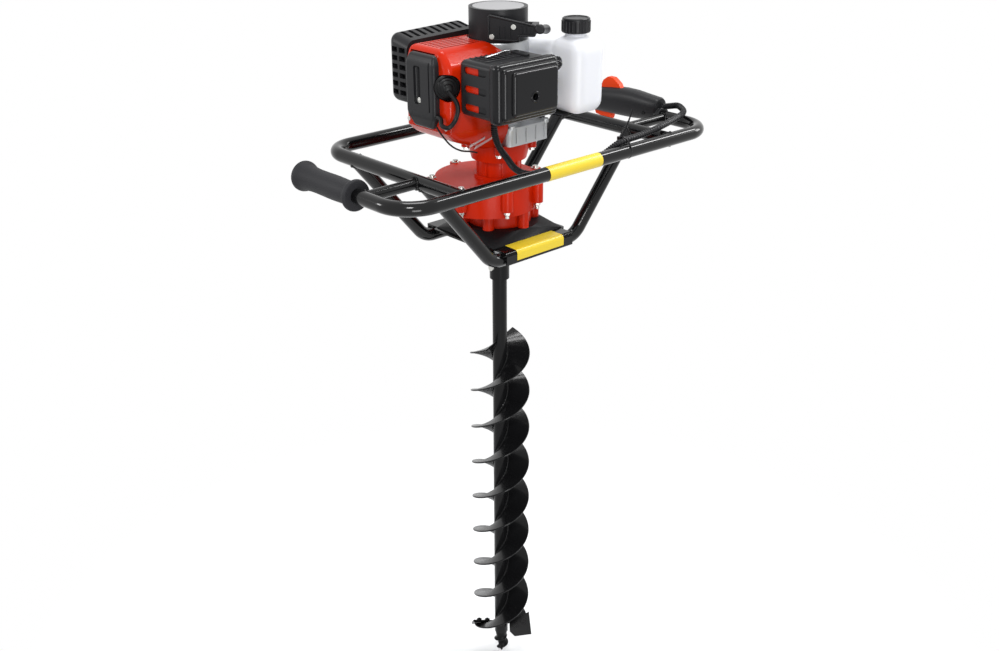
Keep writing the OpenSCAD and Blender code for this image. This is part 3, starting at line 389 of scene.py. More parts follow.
LEAD = Finish("lead_rubber", "lead_rubber", srgb(17, 17, 18), 0.36, 0.05, grain=1400.0, shine=0.2)
TANK = Finish("tank_plastic", "tank_plastic", srgb(229, 230, 234), 0.38, 0.04, grain=260.0,
              depth=0.0003, strength=0.06, soft=0.35)
ALLOY = Finish("cast_alloy", "alloy", srgb(186, 188, 190), 0.42, 0.08, 0.85, grain=700.0,
               depth=0.0004, strength=0.3)
STEEL = Finish("machine_steel", "machine_steel", srgb(170, 171, 173), 0.3, 0.08, 1.0, stretch=(1, 1, 0.05))
ZINC = Finish("zinc_plate", "zinc", srgb(205, 205, 200), 0.27, 0.08, 0.95, grain=800.0)
ROPE = Finish("starter_cord", "rope", srgb(40, 40, 42), 0.75, 0.05, grain=2600.0,
              depth=0.0006, strength=0.7)
NYLON = Finish("reel_nylon", "reel_nylon", srgb(200, 200, 194), 0.5)
FOAM = Finish("filter_foam", "filter_foam", srgb(60, 60, 60), 0.9, depth=0.001, strength=0.8)
YELLOW = Finish("yellow_film", "frame_paint", srgb(226, 198, 44), 0.36, 0.05, grain=500.0, strength=0.05)
SILVER = Finish("silver_film", "shroud_orange", srgb(208, 208, 208), 0.3, 0.05, 0.6,
                grain=500.0, strength=0.05)
DISC = Finish("starter_disc", "black_plastic", srgb(158, 158, 160), 0.3, metallic=0.5,
              grain=300.0, strength=0.05)
PAPER = Finish("floor_paper", "frame_paint", srgb(252, 252, 252), 0.9, 0.02, strength=0.01)


class Mould:
    """A mesh in the making, in millimetres."""

    def __init__(self) -> None:
        """Starts empty."""
        self.mesh = bmesh.new()

    def copy_node(self, node: str) -> "Mould":
        """Takes a CAD node's mesh.

        Args:
            node: The node's name.

        Returns:
            The mould.
        """
        self.mesh.from_mesh(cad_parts[node].data)
        bmesh.ops.scale(self.mesh, vec=(1 / MM,) * 3, verts=self.mesh.verts)
        bmesh.ops.remove_doubles(self.mesh, verts=self.mesh.verts, dist=0.002)
        return self

    def box(self, low: Point, high: Point) -> "Mould":
        """Adds a box.

        Args:
            low: Its low corner.
            high: Its high corner.

        Returns:
            The mould.
        """
        middle = [(a + b) / 2 for a, b in zip(low, high)]
        reach = [b - a for a, b in zip(low, high)]
        place = Matrix.Translation(middle) @ Matrix.Diagonal((*reach, 1.0))
        bmesh.ops.create_cube(self.mesh, size=1.0, matrix=place)
        return self

    def comb(self, low: Point, high: Point, shift: Point, count: int) -> "Mould":
        """Adds a row of equal boxes.

        Args:
            low: Low corner of the first box.
            high: High corner of the first box.
            shift: The way from one box to the next.
            count: How many boxes.

        Returns:
            The mould.
        """
        for step in range(count):
            start, end = ([value + way * step for value, way in zip(corner, shift)] for corner in (low, high))
            self.box(start, end)
        return self

    def rod(self, start: Spot, end: Spot, first: float, second: float | None = None,
            sides: int = 40) -> "Mould":
        """Adds a round rod or cone.

        Args:
            start: Middle of its first end.
            end: Middle of its second end.
            first: Radius of the first end.
            second: Radius of the second end, where it differs.
            sides: Sides of the rod.

        Returns:
            The mould.
        """
        begin, stop = Vector(start), Vector(end)
        turn = (stop - begin).to_track_quat("Z", "Y").to_matrix().to_4x4()
        place = Matrix.Translation((begin + stop) / 2) @ turn
        bmesh.ops.create_cone(self.mesh, cap_ends=True, segments=sides, radius1=first,
                              radius2=first if second is None else second,
                              depth=(stop - begin).length, matrix=place)
        return self

    def sweep(self, path: list[Vector], radius: float | list[float], sides: int = 16,
              closed: bool = False) -> "Mould":
        """Adds a round tube along a path.

        Args:
            path: Middle points.
            radius: One radius, or one for each point.
            sides: Sides of the tube.
            closed: Joins the last ring to the first.

        Returns:
            The mould.
        """
        radii = radius if isinstance(radius, list) else [radius] * len(path)
        rings = []
        across = None
        count = len(path)
        for index, point in enumerate(path):
            ahead = path[(index + 1) % count] if closed else path[min(index + 1, count - 1)]
            behind = path[index - 1] if closed or index else path[0]
            along = (ahead - behind).normalized()
            if across is None:
                across = along.orthogonal().normalized()
            across = (across - along * across.dot(along)).normalized()
            up = along.cross(across)
            ring = []
            for angle in around(sides):
                arm = across * math.cos(angle) + up * math.sin(angle)
                ring.append(self.mesh.verts.new(point + arm * radii[index]))
            rings.append(ring)
        pairs = list(zip(rings, rings[1:]))
        if closed:
            pairs.append((rings[-1], rings[0]))
        for one, two in pairs:
            for side in range(sides):
                after = (side + 1) % sides
                self.mesh.faces.new((one[side], one[after], two[after], two[side]))
        if not closed:
            self.mesh.faces.new(rings[0][::-1])
            self.mesh.faces.new(rings[-1])
        return self

    def turn(self, profile: Profile, place: Matrix, steps: int = 64) -> "Mould":
        """Turns a profile round an axis.

        Args:
            profile: Points of radius and height.
            place: The place whose Z axis is the axis.
            steps: Steps of the full turn.

        Returns:
            The mould.
        """
        verts = [self.mesh.verts.new(place @ Vector((radius, 0, height))) for radius, height in profile]
        edges = [self.mesh.edges.new(pair) for pair in zip(verts, verts[1:])]
        axis = place.to_3x3() @ Vector((0, 0, 1))
        bmesh.ops.spin(self.mesh, geom=verts + edges, cent=place.translation, axis=axis, angle=2 * math.pi,
                       steps=steps, use_merge=True)
        bmesh.ops.remove_doubles(self.mesh, verts=self.mesh.verts, dist=0.001)
        return self

    def loft(self, rows: list[list[Spot]]) -> "Mould":
        """Adds a closed solid through loops.

        Args:
            rows: The loops, each with the same count of points.

        Returns:
            The mould.
        """
        rings = [[self.mesh.verts.new(point) for point in row] for row in rows]
        for one, two in zip(rings, rings[1:]):
            for index, corner in enumerate(one):
                after = (index + 1) % len(one)
                self.mesh.faces.new((corner, one[after], two[after], two[index]))
        self.mesh.faces.new(rings[0][::-1])
        self.mesh.faces.new(rings[-1])
        return self

    def move(self, place: Matrix) -> "Mould":
        """Moves everything made so far."""
        bmesh.ops.transform(self.mesh, matrix=place, verts=self.mesh.verts)
        return self

    def outward(self) -> "Mould":
        """Turns the faces of closed shells outwards."""
        bmesh.ops.recalc_face_normals(self.mesh, faces=self.mesh.faces)
        return self

    def lend(self, name: str) -> bpy.types.Object:
        """Gives the mesh to an object.

        Args:
            name: The object's name.

        Returns:
            The object.
        """
        self.outward()
        data = bpy.data.meshes.new(name)
        self.mesh.to_mesh(data)
        self.mesh.free()
        made = bpy.data.objects.new(name, data)
        bpy.context.scene.collection.objects.link(made)
        return made

    def take(self, *lent: bpy.types.Object) -> "Mould":
        """Takes a lent mesh back as its modifiers changed it.

        Args:
            lent: The object, then any others that are cleared away with it.

        Returns:
            The mould.
        """
        ready = lent[0].evaluated_get(bpy.context.evaluated_depsgraph_get())
        self.mesh = bmesh.new()
        self.mesh.from_mesh(ready.to_mesh())
        ready.to_mesh_clear()
        for made in lent:
            bpy.data.meshes.remove(made.data)
        return self

    def join(self, other: "Mould") -> "Mould":
        """Adds another mould's faces to this one and uses that mould up.

        Args:
            other: The other mould.

        Returns:
            The mould.
        """
        data = bpy.data.meshes.new("joined")
        other.mesh.to_mesh(data)
        other.mesh.free()
        self.mesh.from_mesh(data)
        bpy.data.meshes.remove(data)
        return self

    def cut(self, tool: "Mould") -> "Mould":
        """Takes another mould's space away from this one and uses that mould up.

        Args:
            tool: The other mould.

        Returns:
            The mould.
        """
        base, knife = self.lend("cut_base"), tool.lend("cut_tool")
        change = base.modifiers.new("cut", "BOOLEAN")
        change.object = knife
        change.operation = "DIFFERENCE"
        change.solver = "EXACT"
        return self.take(base, knife)

    def melt(self, size: float, rounds: int) -> "Mould":
        """Joins overlapping solids into one smooth skin.

        Args:
            size: Grid of the skin.
            rounds: How often it is smoothed.

        Returns:
            The mould.
        """
        base = self.lend("melt_base")
        skin = base.modifiers.new("skin", "REMESH")
        skin.mode = "VOXEL"
        skin.voxel_size = size
        ease = base.modifiers.new("ease", "SMOOTH")
        ease.factor = 0.5
        ease.iterations = rounds
        return self.take(base)

    def soften(self, width: float, segments: int = 2, angle: float = 28.0, flat: float = 0.6,
               spare: Callable[[Vector], bool] = lambda spot: False) -> "Mould":
        """Rounds the sharp edges.

        Args:
            width: Width of the rounding.
            segments: Steps of it.
            angle: Edges sharper than this are rounded, in degrees.
            flat: Faces within this angle are joined first.
            spare: Says of a vertex's place that edges between two such vertices stay sharp.

        Returns:
            The mould.
        """
        bmesh.ops.dissolve_limit(self.mesh, angle_limit=math.radians(flat), verts=self.mesh.verts,
                                 edges=self.mesh.edges)
        sharp = [edge for edge in self.mesh.edges
                 if len(edge.link_faces) == 2 and edge.calc_face_angle(0.0) > math.radians(angle)
                 and not all(spare(corner.co) for corner in edge.verts)]
        bmesh.ops.bevel(self.mesh, geom=sharp, offset=width, offset_type="OFFSET", affect="EDGES",
                        segments=segments, profile=0.5, material=-1, clamp_overlap=True, loop_slide=True)
        return self

    def keep(self, name: str, finish: Finish, body: Body, replaces: tuple[str, ...] = (),
             smooth: float = CRISP) -> bpy.types.Object:
        """Stores the mesh as a piece.

        Args:
            name: The piece's name.
            finish: Its surface.
            body: The body that it rides.
            replaces: CAD nodes that it stands for.
            smooth: Edges sharper than this stay sharp, in degrees.

        Returns:
            The piece.
        """
        self.outward()
        bmesh.ops.scale(self.mesh, vec=(MM,) * 3, verts=self.mesh.verts)
        data = bpy.data.meshes.new(name)
        self.mesh.to_mesh(data)
        self.mesh.free()
        data.polygons.foreach_set("use_smooth", [True] * len(data.polygons))
        data.set_sharp_from_angle(angle=math.radians(smooth))
        data.materials.append(finish.material())
        piece = bpy.data.objects.new(name, data)
        bpy.context.scene.collection.objects.link(piece)
        even = piece.modifiers.new("even_normals", "WEIGHTED_NORMAL")
        even.keep_sharp = True
        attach(piece, body.value)
        if replaces:
            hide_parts(*replaces)
        LOG.info("%s: %d faces on %s", name, len(data.polygons), body.value)
        return piece


def curve(points: list[Spot], steps: int) -> list[Vector]:
    """Draws a smooth path through points.

    Args:
        points: The points, ends included.
        steps: Steps from one point to the next.

    Returns:
        The path.
    """
    spots = [Vector(point) for point in points]
    path = []
    last = len(spots) - 1
    for index in range(last):
        a, b = spots[max(index - 1, 0)], spots[index]
        c, d = spots[index + 1], spots[min(index + 2, last)]
        for step in range(steps):
            t = step / steps
            path.append(0.5 * (2 * b + (c - a) * t + (2 * a - 5 * b + 4 * c - d) * t * t
                               + (3 * b - a - 3 * c + d) * t ** 3))
    path.append(spots[-1])
    return path


def bent(points: list[Spot], radius: float, steps: int = 14) -> list[Vector]:
    """Draws a path of straight runs with round bends.

    Args:
        points: The ends and corners.
        radius: Radius of the bends.
        steps: Steps of each bend.

    Returns:
        The path.
    """
    spots = [Vector(point) for point in points]
    path = [spots[0]]
    for before, corner, after in zip(spots, spots[1:], spots[2:]):
        came = (corner - before).normalized()
        goes = (after - corner).normalized()
        angle = came.angle(goes)
        start = corner - came * radius * math.tan(angle / 2)
        inward = (goes - came * goes.dot(came)).normalized()
        middle = start + inward * radius
        for step in range(steps + 1):
            swing = angle * step / steps
            path.append(middle - inward * radius * math.cos(swing) + came * radius * math.sin(swing))
    path.append(spots[-1])
    return path


def saddle(start: Spot, along: Vector, radius: float, other: Spot, axis: Vector, reach: float,
           steps: int = 48) -> list[Vector]:
    """Finds the line where a round tube meets another.

    Args:
        start: A point on the tube's axis, outside the other tube.
        along: The tube's direction towards the other.
        radius: The tube's radius.
        other: A point on the other tube's axis.
        axis: The other tube's direction.
        reach: The other tube's radius.
        steps: Points of the line.

    Returns:
        The line's points.
    """
    way = along.normalized()
    first = way.orthogonal().normalized()
    second = way.cross(first)
    line = []
    for angle in around(steps):
        spot = Vector(start) + (first * math.cos(angle) + second * math.sin(angle)) * radius
        gap = spot - Vector(other)
        gap -= axis * gap.dot(axis)
        move = way - axis * way.dot(axis)
        a, b, c = move.dot(move), 2 * gap.dot(move), gap.dot(gap) - reach * reach
        root = max(b * b - 4 * a * c, 0.0)
        line.append(spot + way * (-b - math.sqrt(root)) / (2 * a))
    return line


def stacked(levels: tuple[Level, ...]) -> Mould:
    """A solid through level rectangles."""
    rows = [[(x0, y0, z), (x1, y0, z), (x1, y1, z), (x0, y1, z)] for x0, x1, y0, y1, z in levels]
    return Mould().loft(rows)


@dataclass
class SubAssembly:
    """A group of pieces built and dressed together."""

    pieces: list[bpy.types.Object] = field(default_factory=list)

    def build(self) -> None:
        """Makes the main pieces."""

    def dress(self) -> None:
        """Adds the small pieces."""

    def hold(self, mould: Mould, name: str, finish: Finish, body: Body = Body.FRAME,
             replaces: tuple[str, ...] = (), smooth: float = CRISP) -> None:
        """Keeps a mould as one of the group's pieces."""
        self.pieces.append(mould.keep(name, finish, body, replaces, smooth))

    def stand_in(self, mould: Mould, node: str, finish: Finish, body: Body = Body.FRAME,
                 smooth: float = CRISP) -> None:
        """Keeps a mould in the place of one CAD node."""
        self.hold(mould, f"{node}_soft", finish, body, (node,), smooth)

    def soft(self, node: str, finish: Finish, width: float = 1.0, body: Body = Body.FRAME,
             segments: int = 2) -> None:
        """Stands a copy with rounded edges in for a CAD node."""
        self.stand_in(Mould().copy_node(node).soften(width, segments), node, finish, body)


@dataclass(frozen=True)
class PlateFold:
    """The rounded front edge of the base plate."""

    y: float = -88.5
    z: float = 837.0
    radius: float = 6.0
    half: float = 70.1
    cut_half: float = 90.0
    core_half: float = 95.0
    cut_front: float = -97.0
    cut_top: float = 845.0

    def rod(self, half: float) -> Mould:
        """A round rod along the fold."""
        return Mould().rod((-half, self.y, self.z), (half, self.y, self.z), self.radius, sides=64)

    def corner(self) -> Mould:
        """What the rounding takes away from the plate's square edge."""
        block = Mould().box((-self.cut_half, self.cut_front, self.z), (self.cut_half, self.y, self.cut_top))
        return block.cut(self.rod(self.core_half))

    def arc(self, radius: float) -> list[tuple[float, float]]:
        """Points across and up round the fold, from its top to its front."""
        turns = [math.radians(90 + 9 * step) for step in range(11)]
        return [(self.y + radius * math.cos(turn), self.z + radius * math.sin(turn)) for turn in turns]


FOLD = PlateFold()


@dataclass
class FrameTubes(SubAssembly):
    """Handlebar, loop, legs, braces and plate."""

    left_end: float = 62.0
    right_end: float = 42.0
    bar_bend: float = 50.0
    loop_bend: float = 44.0
    leg_bend: float = 36.0
    stand_off: float = 60.0
    bead_r: float = 1.9
    ripple: float = 0.35
    ripple_pace: float = 2.1
    seam_ends: tuple[float, float] = (66.0, 36.0)
    seam_in: float = 8.5
    seam_z: float = 839.6
    seam_r: float = 1.8

    def build(self) -> None:
        """Draws the tubes along their paths, and rounds the plate and the gearbox's mount."""
        z, gx, sx = SIZE.frame_z, SIZE.grip_x, SIZE.side_x
        front, rear = -SIZE.front_y, SIZE.rear_y
        bar = [(-gx, self.left_end, z), (-gx, front, z), (gx, front, z), (gx, self.right_end, z)]
        self.tube("handlebar", bar, self.bar_bend)
        loop = [(-sx, front, z), (-sx, rear, z), (sx, rear, z), (sx, front, z)]
        self.tube("side_loop", loop, self.loop_bend)
        for node, y in (("front_leg_tube", -SIZE.leg_y), ("rear_leg_tube", SIZE.leg_y)):
            ends = [(-sx, y, z), (-SIZE.leg_w, y, SIZE.leg_z), (SIZE.leg_w, y, SIZE.leg_z), (sx, y, z)]
            self.tube(node, ends, self.leg_bend)
        braces = Mould()
        for side in (-1, 1):
            braces.sweep([Vector((side * x, -SIZE.brace_y, z)) for x in (sx, gx)], SIZE.brace_r, 40)
        self.stand_in(braces, "brace_tubes", BLACK_PAINT)
        plate = Mould().copy_node("base_plate").cut(FOLD.corner()).soften(0.6)
        self.stand_in(plate.join(FOLD.rod(FOLD.half)), "base_plate", BLACK_PAINT)
        self.soft("gearbox_mount", SATIN, 2.5, segments=3)

    def tube(self, node: str, corners: list[Point], bend: float) -> None:
        """Stands a bent tube in for a CAD node."""
        self.stand_in(Mould().sweep(bent(corners, bend), SIZE.tube_r, 48), node, BLACK_PAINT)

    def dress(self) -> None:
        """Adds weld beads where tubes meet and seams along the plate."""
        z, r = SIZE.frame_z, SIZE.tube_r
        gx, front, sx = SIZE.grip_x, -SIZE.front_y, SIZE.side_x
        along_x, along_y = Vector((1, 0, 0)), Vector((0, 1, 0))
        beads = Mould()
        for side in (-1, 1):
            lines = [saddle((side * sx, front + self.stand_off, z), -along_y, r, (0, front, z), along_x, r)]
            for y in (-SIZE.leg_y, SIZE.leg_y):
                low = Vector((side * SIZE.leg_w, y, SIZE.leg_z))
                high = Vector((side * sx, y, z))
                lines.append(saddle((low + high) / 2, high - low, r, high, along_y, r))
            centre = (side * (sx + gx) / 2, -SIZE.brace_y, z)
            lines.append(saddle(centre, -side * along_x, SIZE.brace_r, (side * sx, 0, z), along_y, r))
            lines.append(saddle(centre, side * along_x, SIZE.brace_r, (side * gx, 0, z), along_y, r))
            for line in lines:
                self.bead(beads, line)
        self.hold(beads, "frame_welds", BLACK_PAINT, smooth=ROUNDED)
        seams = Mould()
        for y in (-SIZE.leg_y, SIZE.leg_y):
            inner = y - math.copysign(self.seam_in, y)
            for side in (-1, 1):
                seams.sweep([Vector((side * x, inner, self.seam_z)) for x in self.seam_ends], self.seam_r, 12)
        self.hold(seams, "plate_welds", BLACK_PAINT)

    def bead(self, mould: Mould, line: list[Vector]) -> None:
        """Adds a rippled weld bead.

        Args:
            mould: The mould that takes it.
            line: The closed line that it follows.
        """
        fine = []
        for here, after in zip(line, line[1:] + line[:1]):
            fine += [here, here.lerp(after, 0.33), here.lerp(after, 0.67)]
        radii = [self.bead_r + self.ripple * math.sin(index * self.ripple_pace) for index in range(len(fine))]
        mould.sweep(fine, radii, 10, True)


@dataclass
class Grips(SubAssembly):
    """The plain grip and the throttle grip with its controls.

    A section of the throttle grip is its y, half width, low z and high z. A slot is two y and two z.
    """

    grip_front: float = -59.0
    grip_len: float = 129.0
    grip_rows: Profile = (
        (10.6, 0), (20, 0), (22, 2), (22, 6), (19, 8.5), (16.6, 14), (16.8, 24), (17.4, 50), (17, 80),
        (17.2, 98), (18.6, 112), (21.4, 121), (22, 125), (21.4, 128), (19.5, 129), (10, 129), (0.2, 129))
    sections: tuple[Section, ...] = (
        (-58, 13.5, 974, 1008), (-54, 15.5, 972, 1010), (-30, 16.6, 969, 1012), (-5, 17.2, 967, 1014.4),
        (20, 17.6, 966, 1014.6), (50, 17.8, 965.5, 1011.6), (80, 17.5, 965, 1007), (106, 16.6, 965, 1002),
        (119, 14, 968, 998), (125, 9, 974, 992))
    squareness: float = 0.8
    slot_half: float = 5.8
    slots: tuple[Section, ...] = ((43, 99, 940, 993), (24, 82, 1000, 1040))
    trigger_shift: Point = (0, -20, 6)
    lockout_shift: Point = (0, -23, 8)
    screw_spots: Profile = ((-34, 4), (20, 10), (100, 3))
    screw_reach: tuple[float, float] = (12.0, 17.0)
    screw_r: float = 3.2
    collar_front: float = -64.0
    collar_rows: Profile = (
        (10.7, 0), (14.2, 0), (15.4, 1.2), (15.4, 4), (14.6, 5), (15.6, 6), (15.8, 9), (10.7, 9), (10.7, 0))
    sleeve_start: Point = (3, -61, 14.8)
    sleeve_end: Point = (2, -36, 11)
    sleeve_r: tuple[float, float] = (7.2, 6.4)
    rib_half: float = 5.5
    rib_front: float = 53.0
    rib_gap: float = 6.0
    rib_width: float = 2.4
    rib_drop: tuple[float, float] = (23.4, 20.0)
    ribs: int = 4

    def build(self) -> None:
        """Turns the left grip, draws the throttle grip and softens the controls."""
        smooth = curve([(radius, height, 0) for radius, height in self.grip_rows], 4)
        rows = [(max(spot.x, 0.1), min(max(spot.y, 0.0), self.grip_len)) for spot in smooth]
        grip = Mould().turn(rows, lying((-SIZE.grip_x, self.grip_front, SIZE.frame_z)), 72)
        self.stand_in(grip, "left_grip", RUBBER)
        self.throttle()
        for node, shift, body in (("throttle_trigger", self.trigger_shift, Body.TRIGGER),
                                  ("lockout_lever", self.lockout_shift, Body.LOCKOUT)):
            made = Mould().copy_node(node).move(Matrix.Translation(shift)).soften(1.2, 3)
            self.stand_in(made, node, CONTROL, body)
        self.soft("stop_switch", CONTROL, 0.7, Body.STOP)

    def bulge(self, value: float) -> float:
        """Pushes a sine or cosine outwards, which squares a circle a little."""
        return math.copysign(abs(value) ** self.squareness, value)

    def throttle(self) -> None:
        """Draws the bulging throttle grip with slots for its two levers."""
        rings = []
        for y, half, low, high in self.sections:
            middle, rise = (low + high) / 2, (high - low) / 2
            rings.append([(SIZE.grip_x + half * self.bulge(math.cos(angle)), y,
                           middle + rise * self.bulge(math.sin(angle))) for angle in around(48)])
        slots = Mould()
        for y0, y1, z0, z1 in self.slots:
            slots.box((SIZE.grip_x - self.slot_half, y0, z0), (SIZE.grip_x + self.slot_half, y1, z1))
        self.hold(Mould().loft(rings).cut(slots), "throttle_grip_soft", PLASTIC,
                  replaces=("throttle_shell_inner", "throttle_shell_outer"), smooth=MOULDED)

    def dress(self) -> None:
        """Adds screws, a collar with the conduit's sleeve, and ribs on the trigger."""
        x, z = SIZE.grip_x, SIZE.frame_z
        near, far = self.screw_reach
        screws = Mould()
        for y, lift in self.screw_spots:
            for start, end in ((x - far, x - near), (x + near, x + far)):
                screws.rod((start, y, z + lift), (end, y, z + lift), self.screw_r)
        self.hold(screws.soften(0.4), "throttle_screws", GLOSSY)
        collar = Mould().turn(self.collar_rows, lying((x, self.collar_front, z)), 56)
        start, end = ((x + side, y, z + lift) for side, y, lift in (self.sleeve_start, self.sleeve_end))
        collar.rod(start, end, *self.sleeve_r)
        self.hold(collar, "throttle_collar", PLASTIC)
        low, high = self.rib_drop
        ribs = Mould().comb((x - self.rib_half, self.rib_front, z - low),
                            (x + self.rib_half, self.rib_front + self.rib_width, z - high),
                            (0, self.rib_gap, 0), self.ribs)
        self.hold(ribs.soften(0.8), "trigger_ribs", CONTROL, Body.TRIGGER)


@dataclass
class Gearbox(SubAssembly):
    """Case, cover, clutch neck and their screws."""

    centre: tuple[float, float] = (-15.3, 12.9)
    trim_z: float = 880.0
    trim_h: float = 17.0
    trim_out: float = 110.0
    case_trim: float = 80.4
    bolt_trim: float = 74.0
    lug_r: float = 85.0
    lug_angles: tuple[int, ...] = (30, 84, 148, 202, 250, 296, 342)
    lug_tiers: tuple[Tier, ...] = (
        (931, 932.2, 6.4, 6.4, 40), (934, 935.4, 3.4, 3.4, 6), (892, 897.4, 5.4, 5.4, 6),
        (886, 894, 2.7, 2.7, 24))
    thread: Tier = (886, 887.4, 3.4, 3.0, 24)
    thread_pitch: float = 2.0
    threads: int = 4
    flange_r: float = 51.0
    flange_angles: tuple[int, ...] = (40, 140, 228, 312)
    flange_tiers: tuple[Tier, ...] = ((972, 976.8, 4.6, 4.6, 6), (975.4, 977, 6.2, 6.2, 40))
    neck_rib: Block = ((30, -1.6, 936), (35.4, 1.6, 962))
    neck_ribs: int = 8
    neck_phase: float = 12.0

    def build(self) -> None:
        """Softens the castings, with the lugs and bolts cut short below."""
        case = Mould().copy_node("gearbox_case").cut(self.trim(self.case_trim)).soften(1.4, 3)
        self.stand_in(case, "gearbox_case", ORANGE_CAST)
        self.soft("gearbox_cover", ORANGE_CAST, 1.4, segments=3)
        self.soft("clutch_housing", ORANGE_CAST, 1.6, segments=3)
        bolts = Mould().copy_node("gearbox_bolts").cut(self.trim(self.bolt_trim)).soften(0.5)
        self.stand_in(bolts, "gearbox_bolts", ZINC)

    def trim(self, inner: float) -> Mould:
        """Makes the ring round the foot of the case that is cut away.

        Args:
            inner: Its inner radius.

        Returns:
            The ring.
        """
        outer, top = self.trim_out, self.trim_h
        rows = ((inner, 0), (outer, 0), (outer, top), (inner, top), (inner, 0))
        return Mould().turn(rows, Matrix.Translation((*self.centre, self.trim_z)), 128)

    def stack(self, mould: Mould, spot: Vector, tiers: tuple[Tier, ...]) -> None:
        """Adds the tiers of an upright screw."""
        for low, high, first, second, sides in tiers:
            mould.rod((spot.x, spot.y, low), (spot.x, spot.y, high), first, second, sides)

    def dress(self) -> None:
        """Adds sockets, washers, nuts and threads to the screws, and ribs on the neck."""
        low, high, *rest = self.thread
        lifts = [self.thread_pitch * step for step in range(self.threads)]
        threads = [(low + lift, high + lift, *rest) for lift in lifts]
        screws = Mould()
        for angle in self.lug_angles:
            spot = Vector((*self.centre, 0)) + polar(angle, self.lug_r)
            self.stack(screws, spot, (*self.lug_tiers, *threads))
        for angle in self.flange_angles:
            self.stack(screws, polar(angle, self.flange_r), self.flange_tiers)
        self.hold(screws.soften(0.3), "gearbox_washers", ZINC)
        ribs = Mould()
        for step in range(self.neck_ribs):
            ribs.join(Mould().box(*self.neck_rib).move(spun(360 / self.neck_ribs * step + self.neck_phase)))
        self.hold(ribs.soften(0.8), "neck_ribs", ORANGE_CAST)


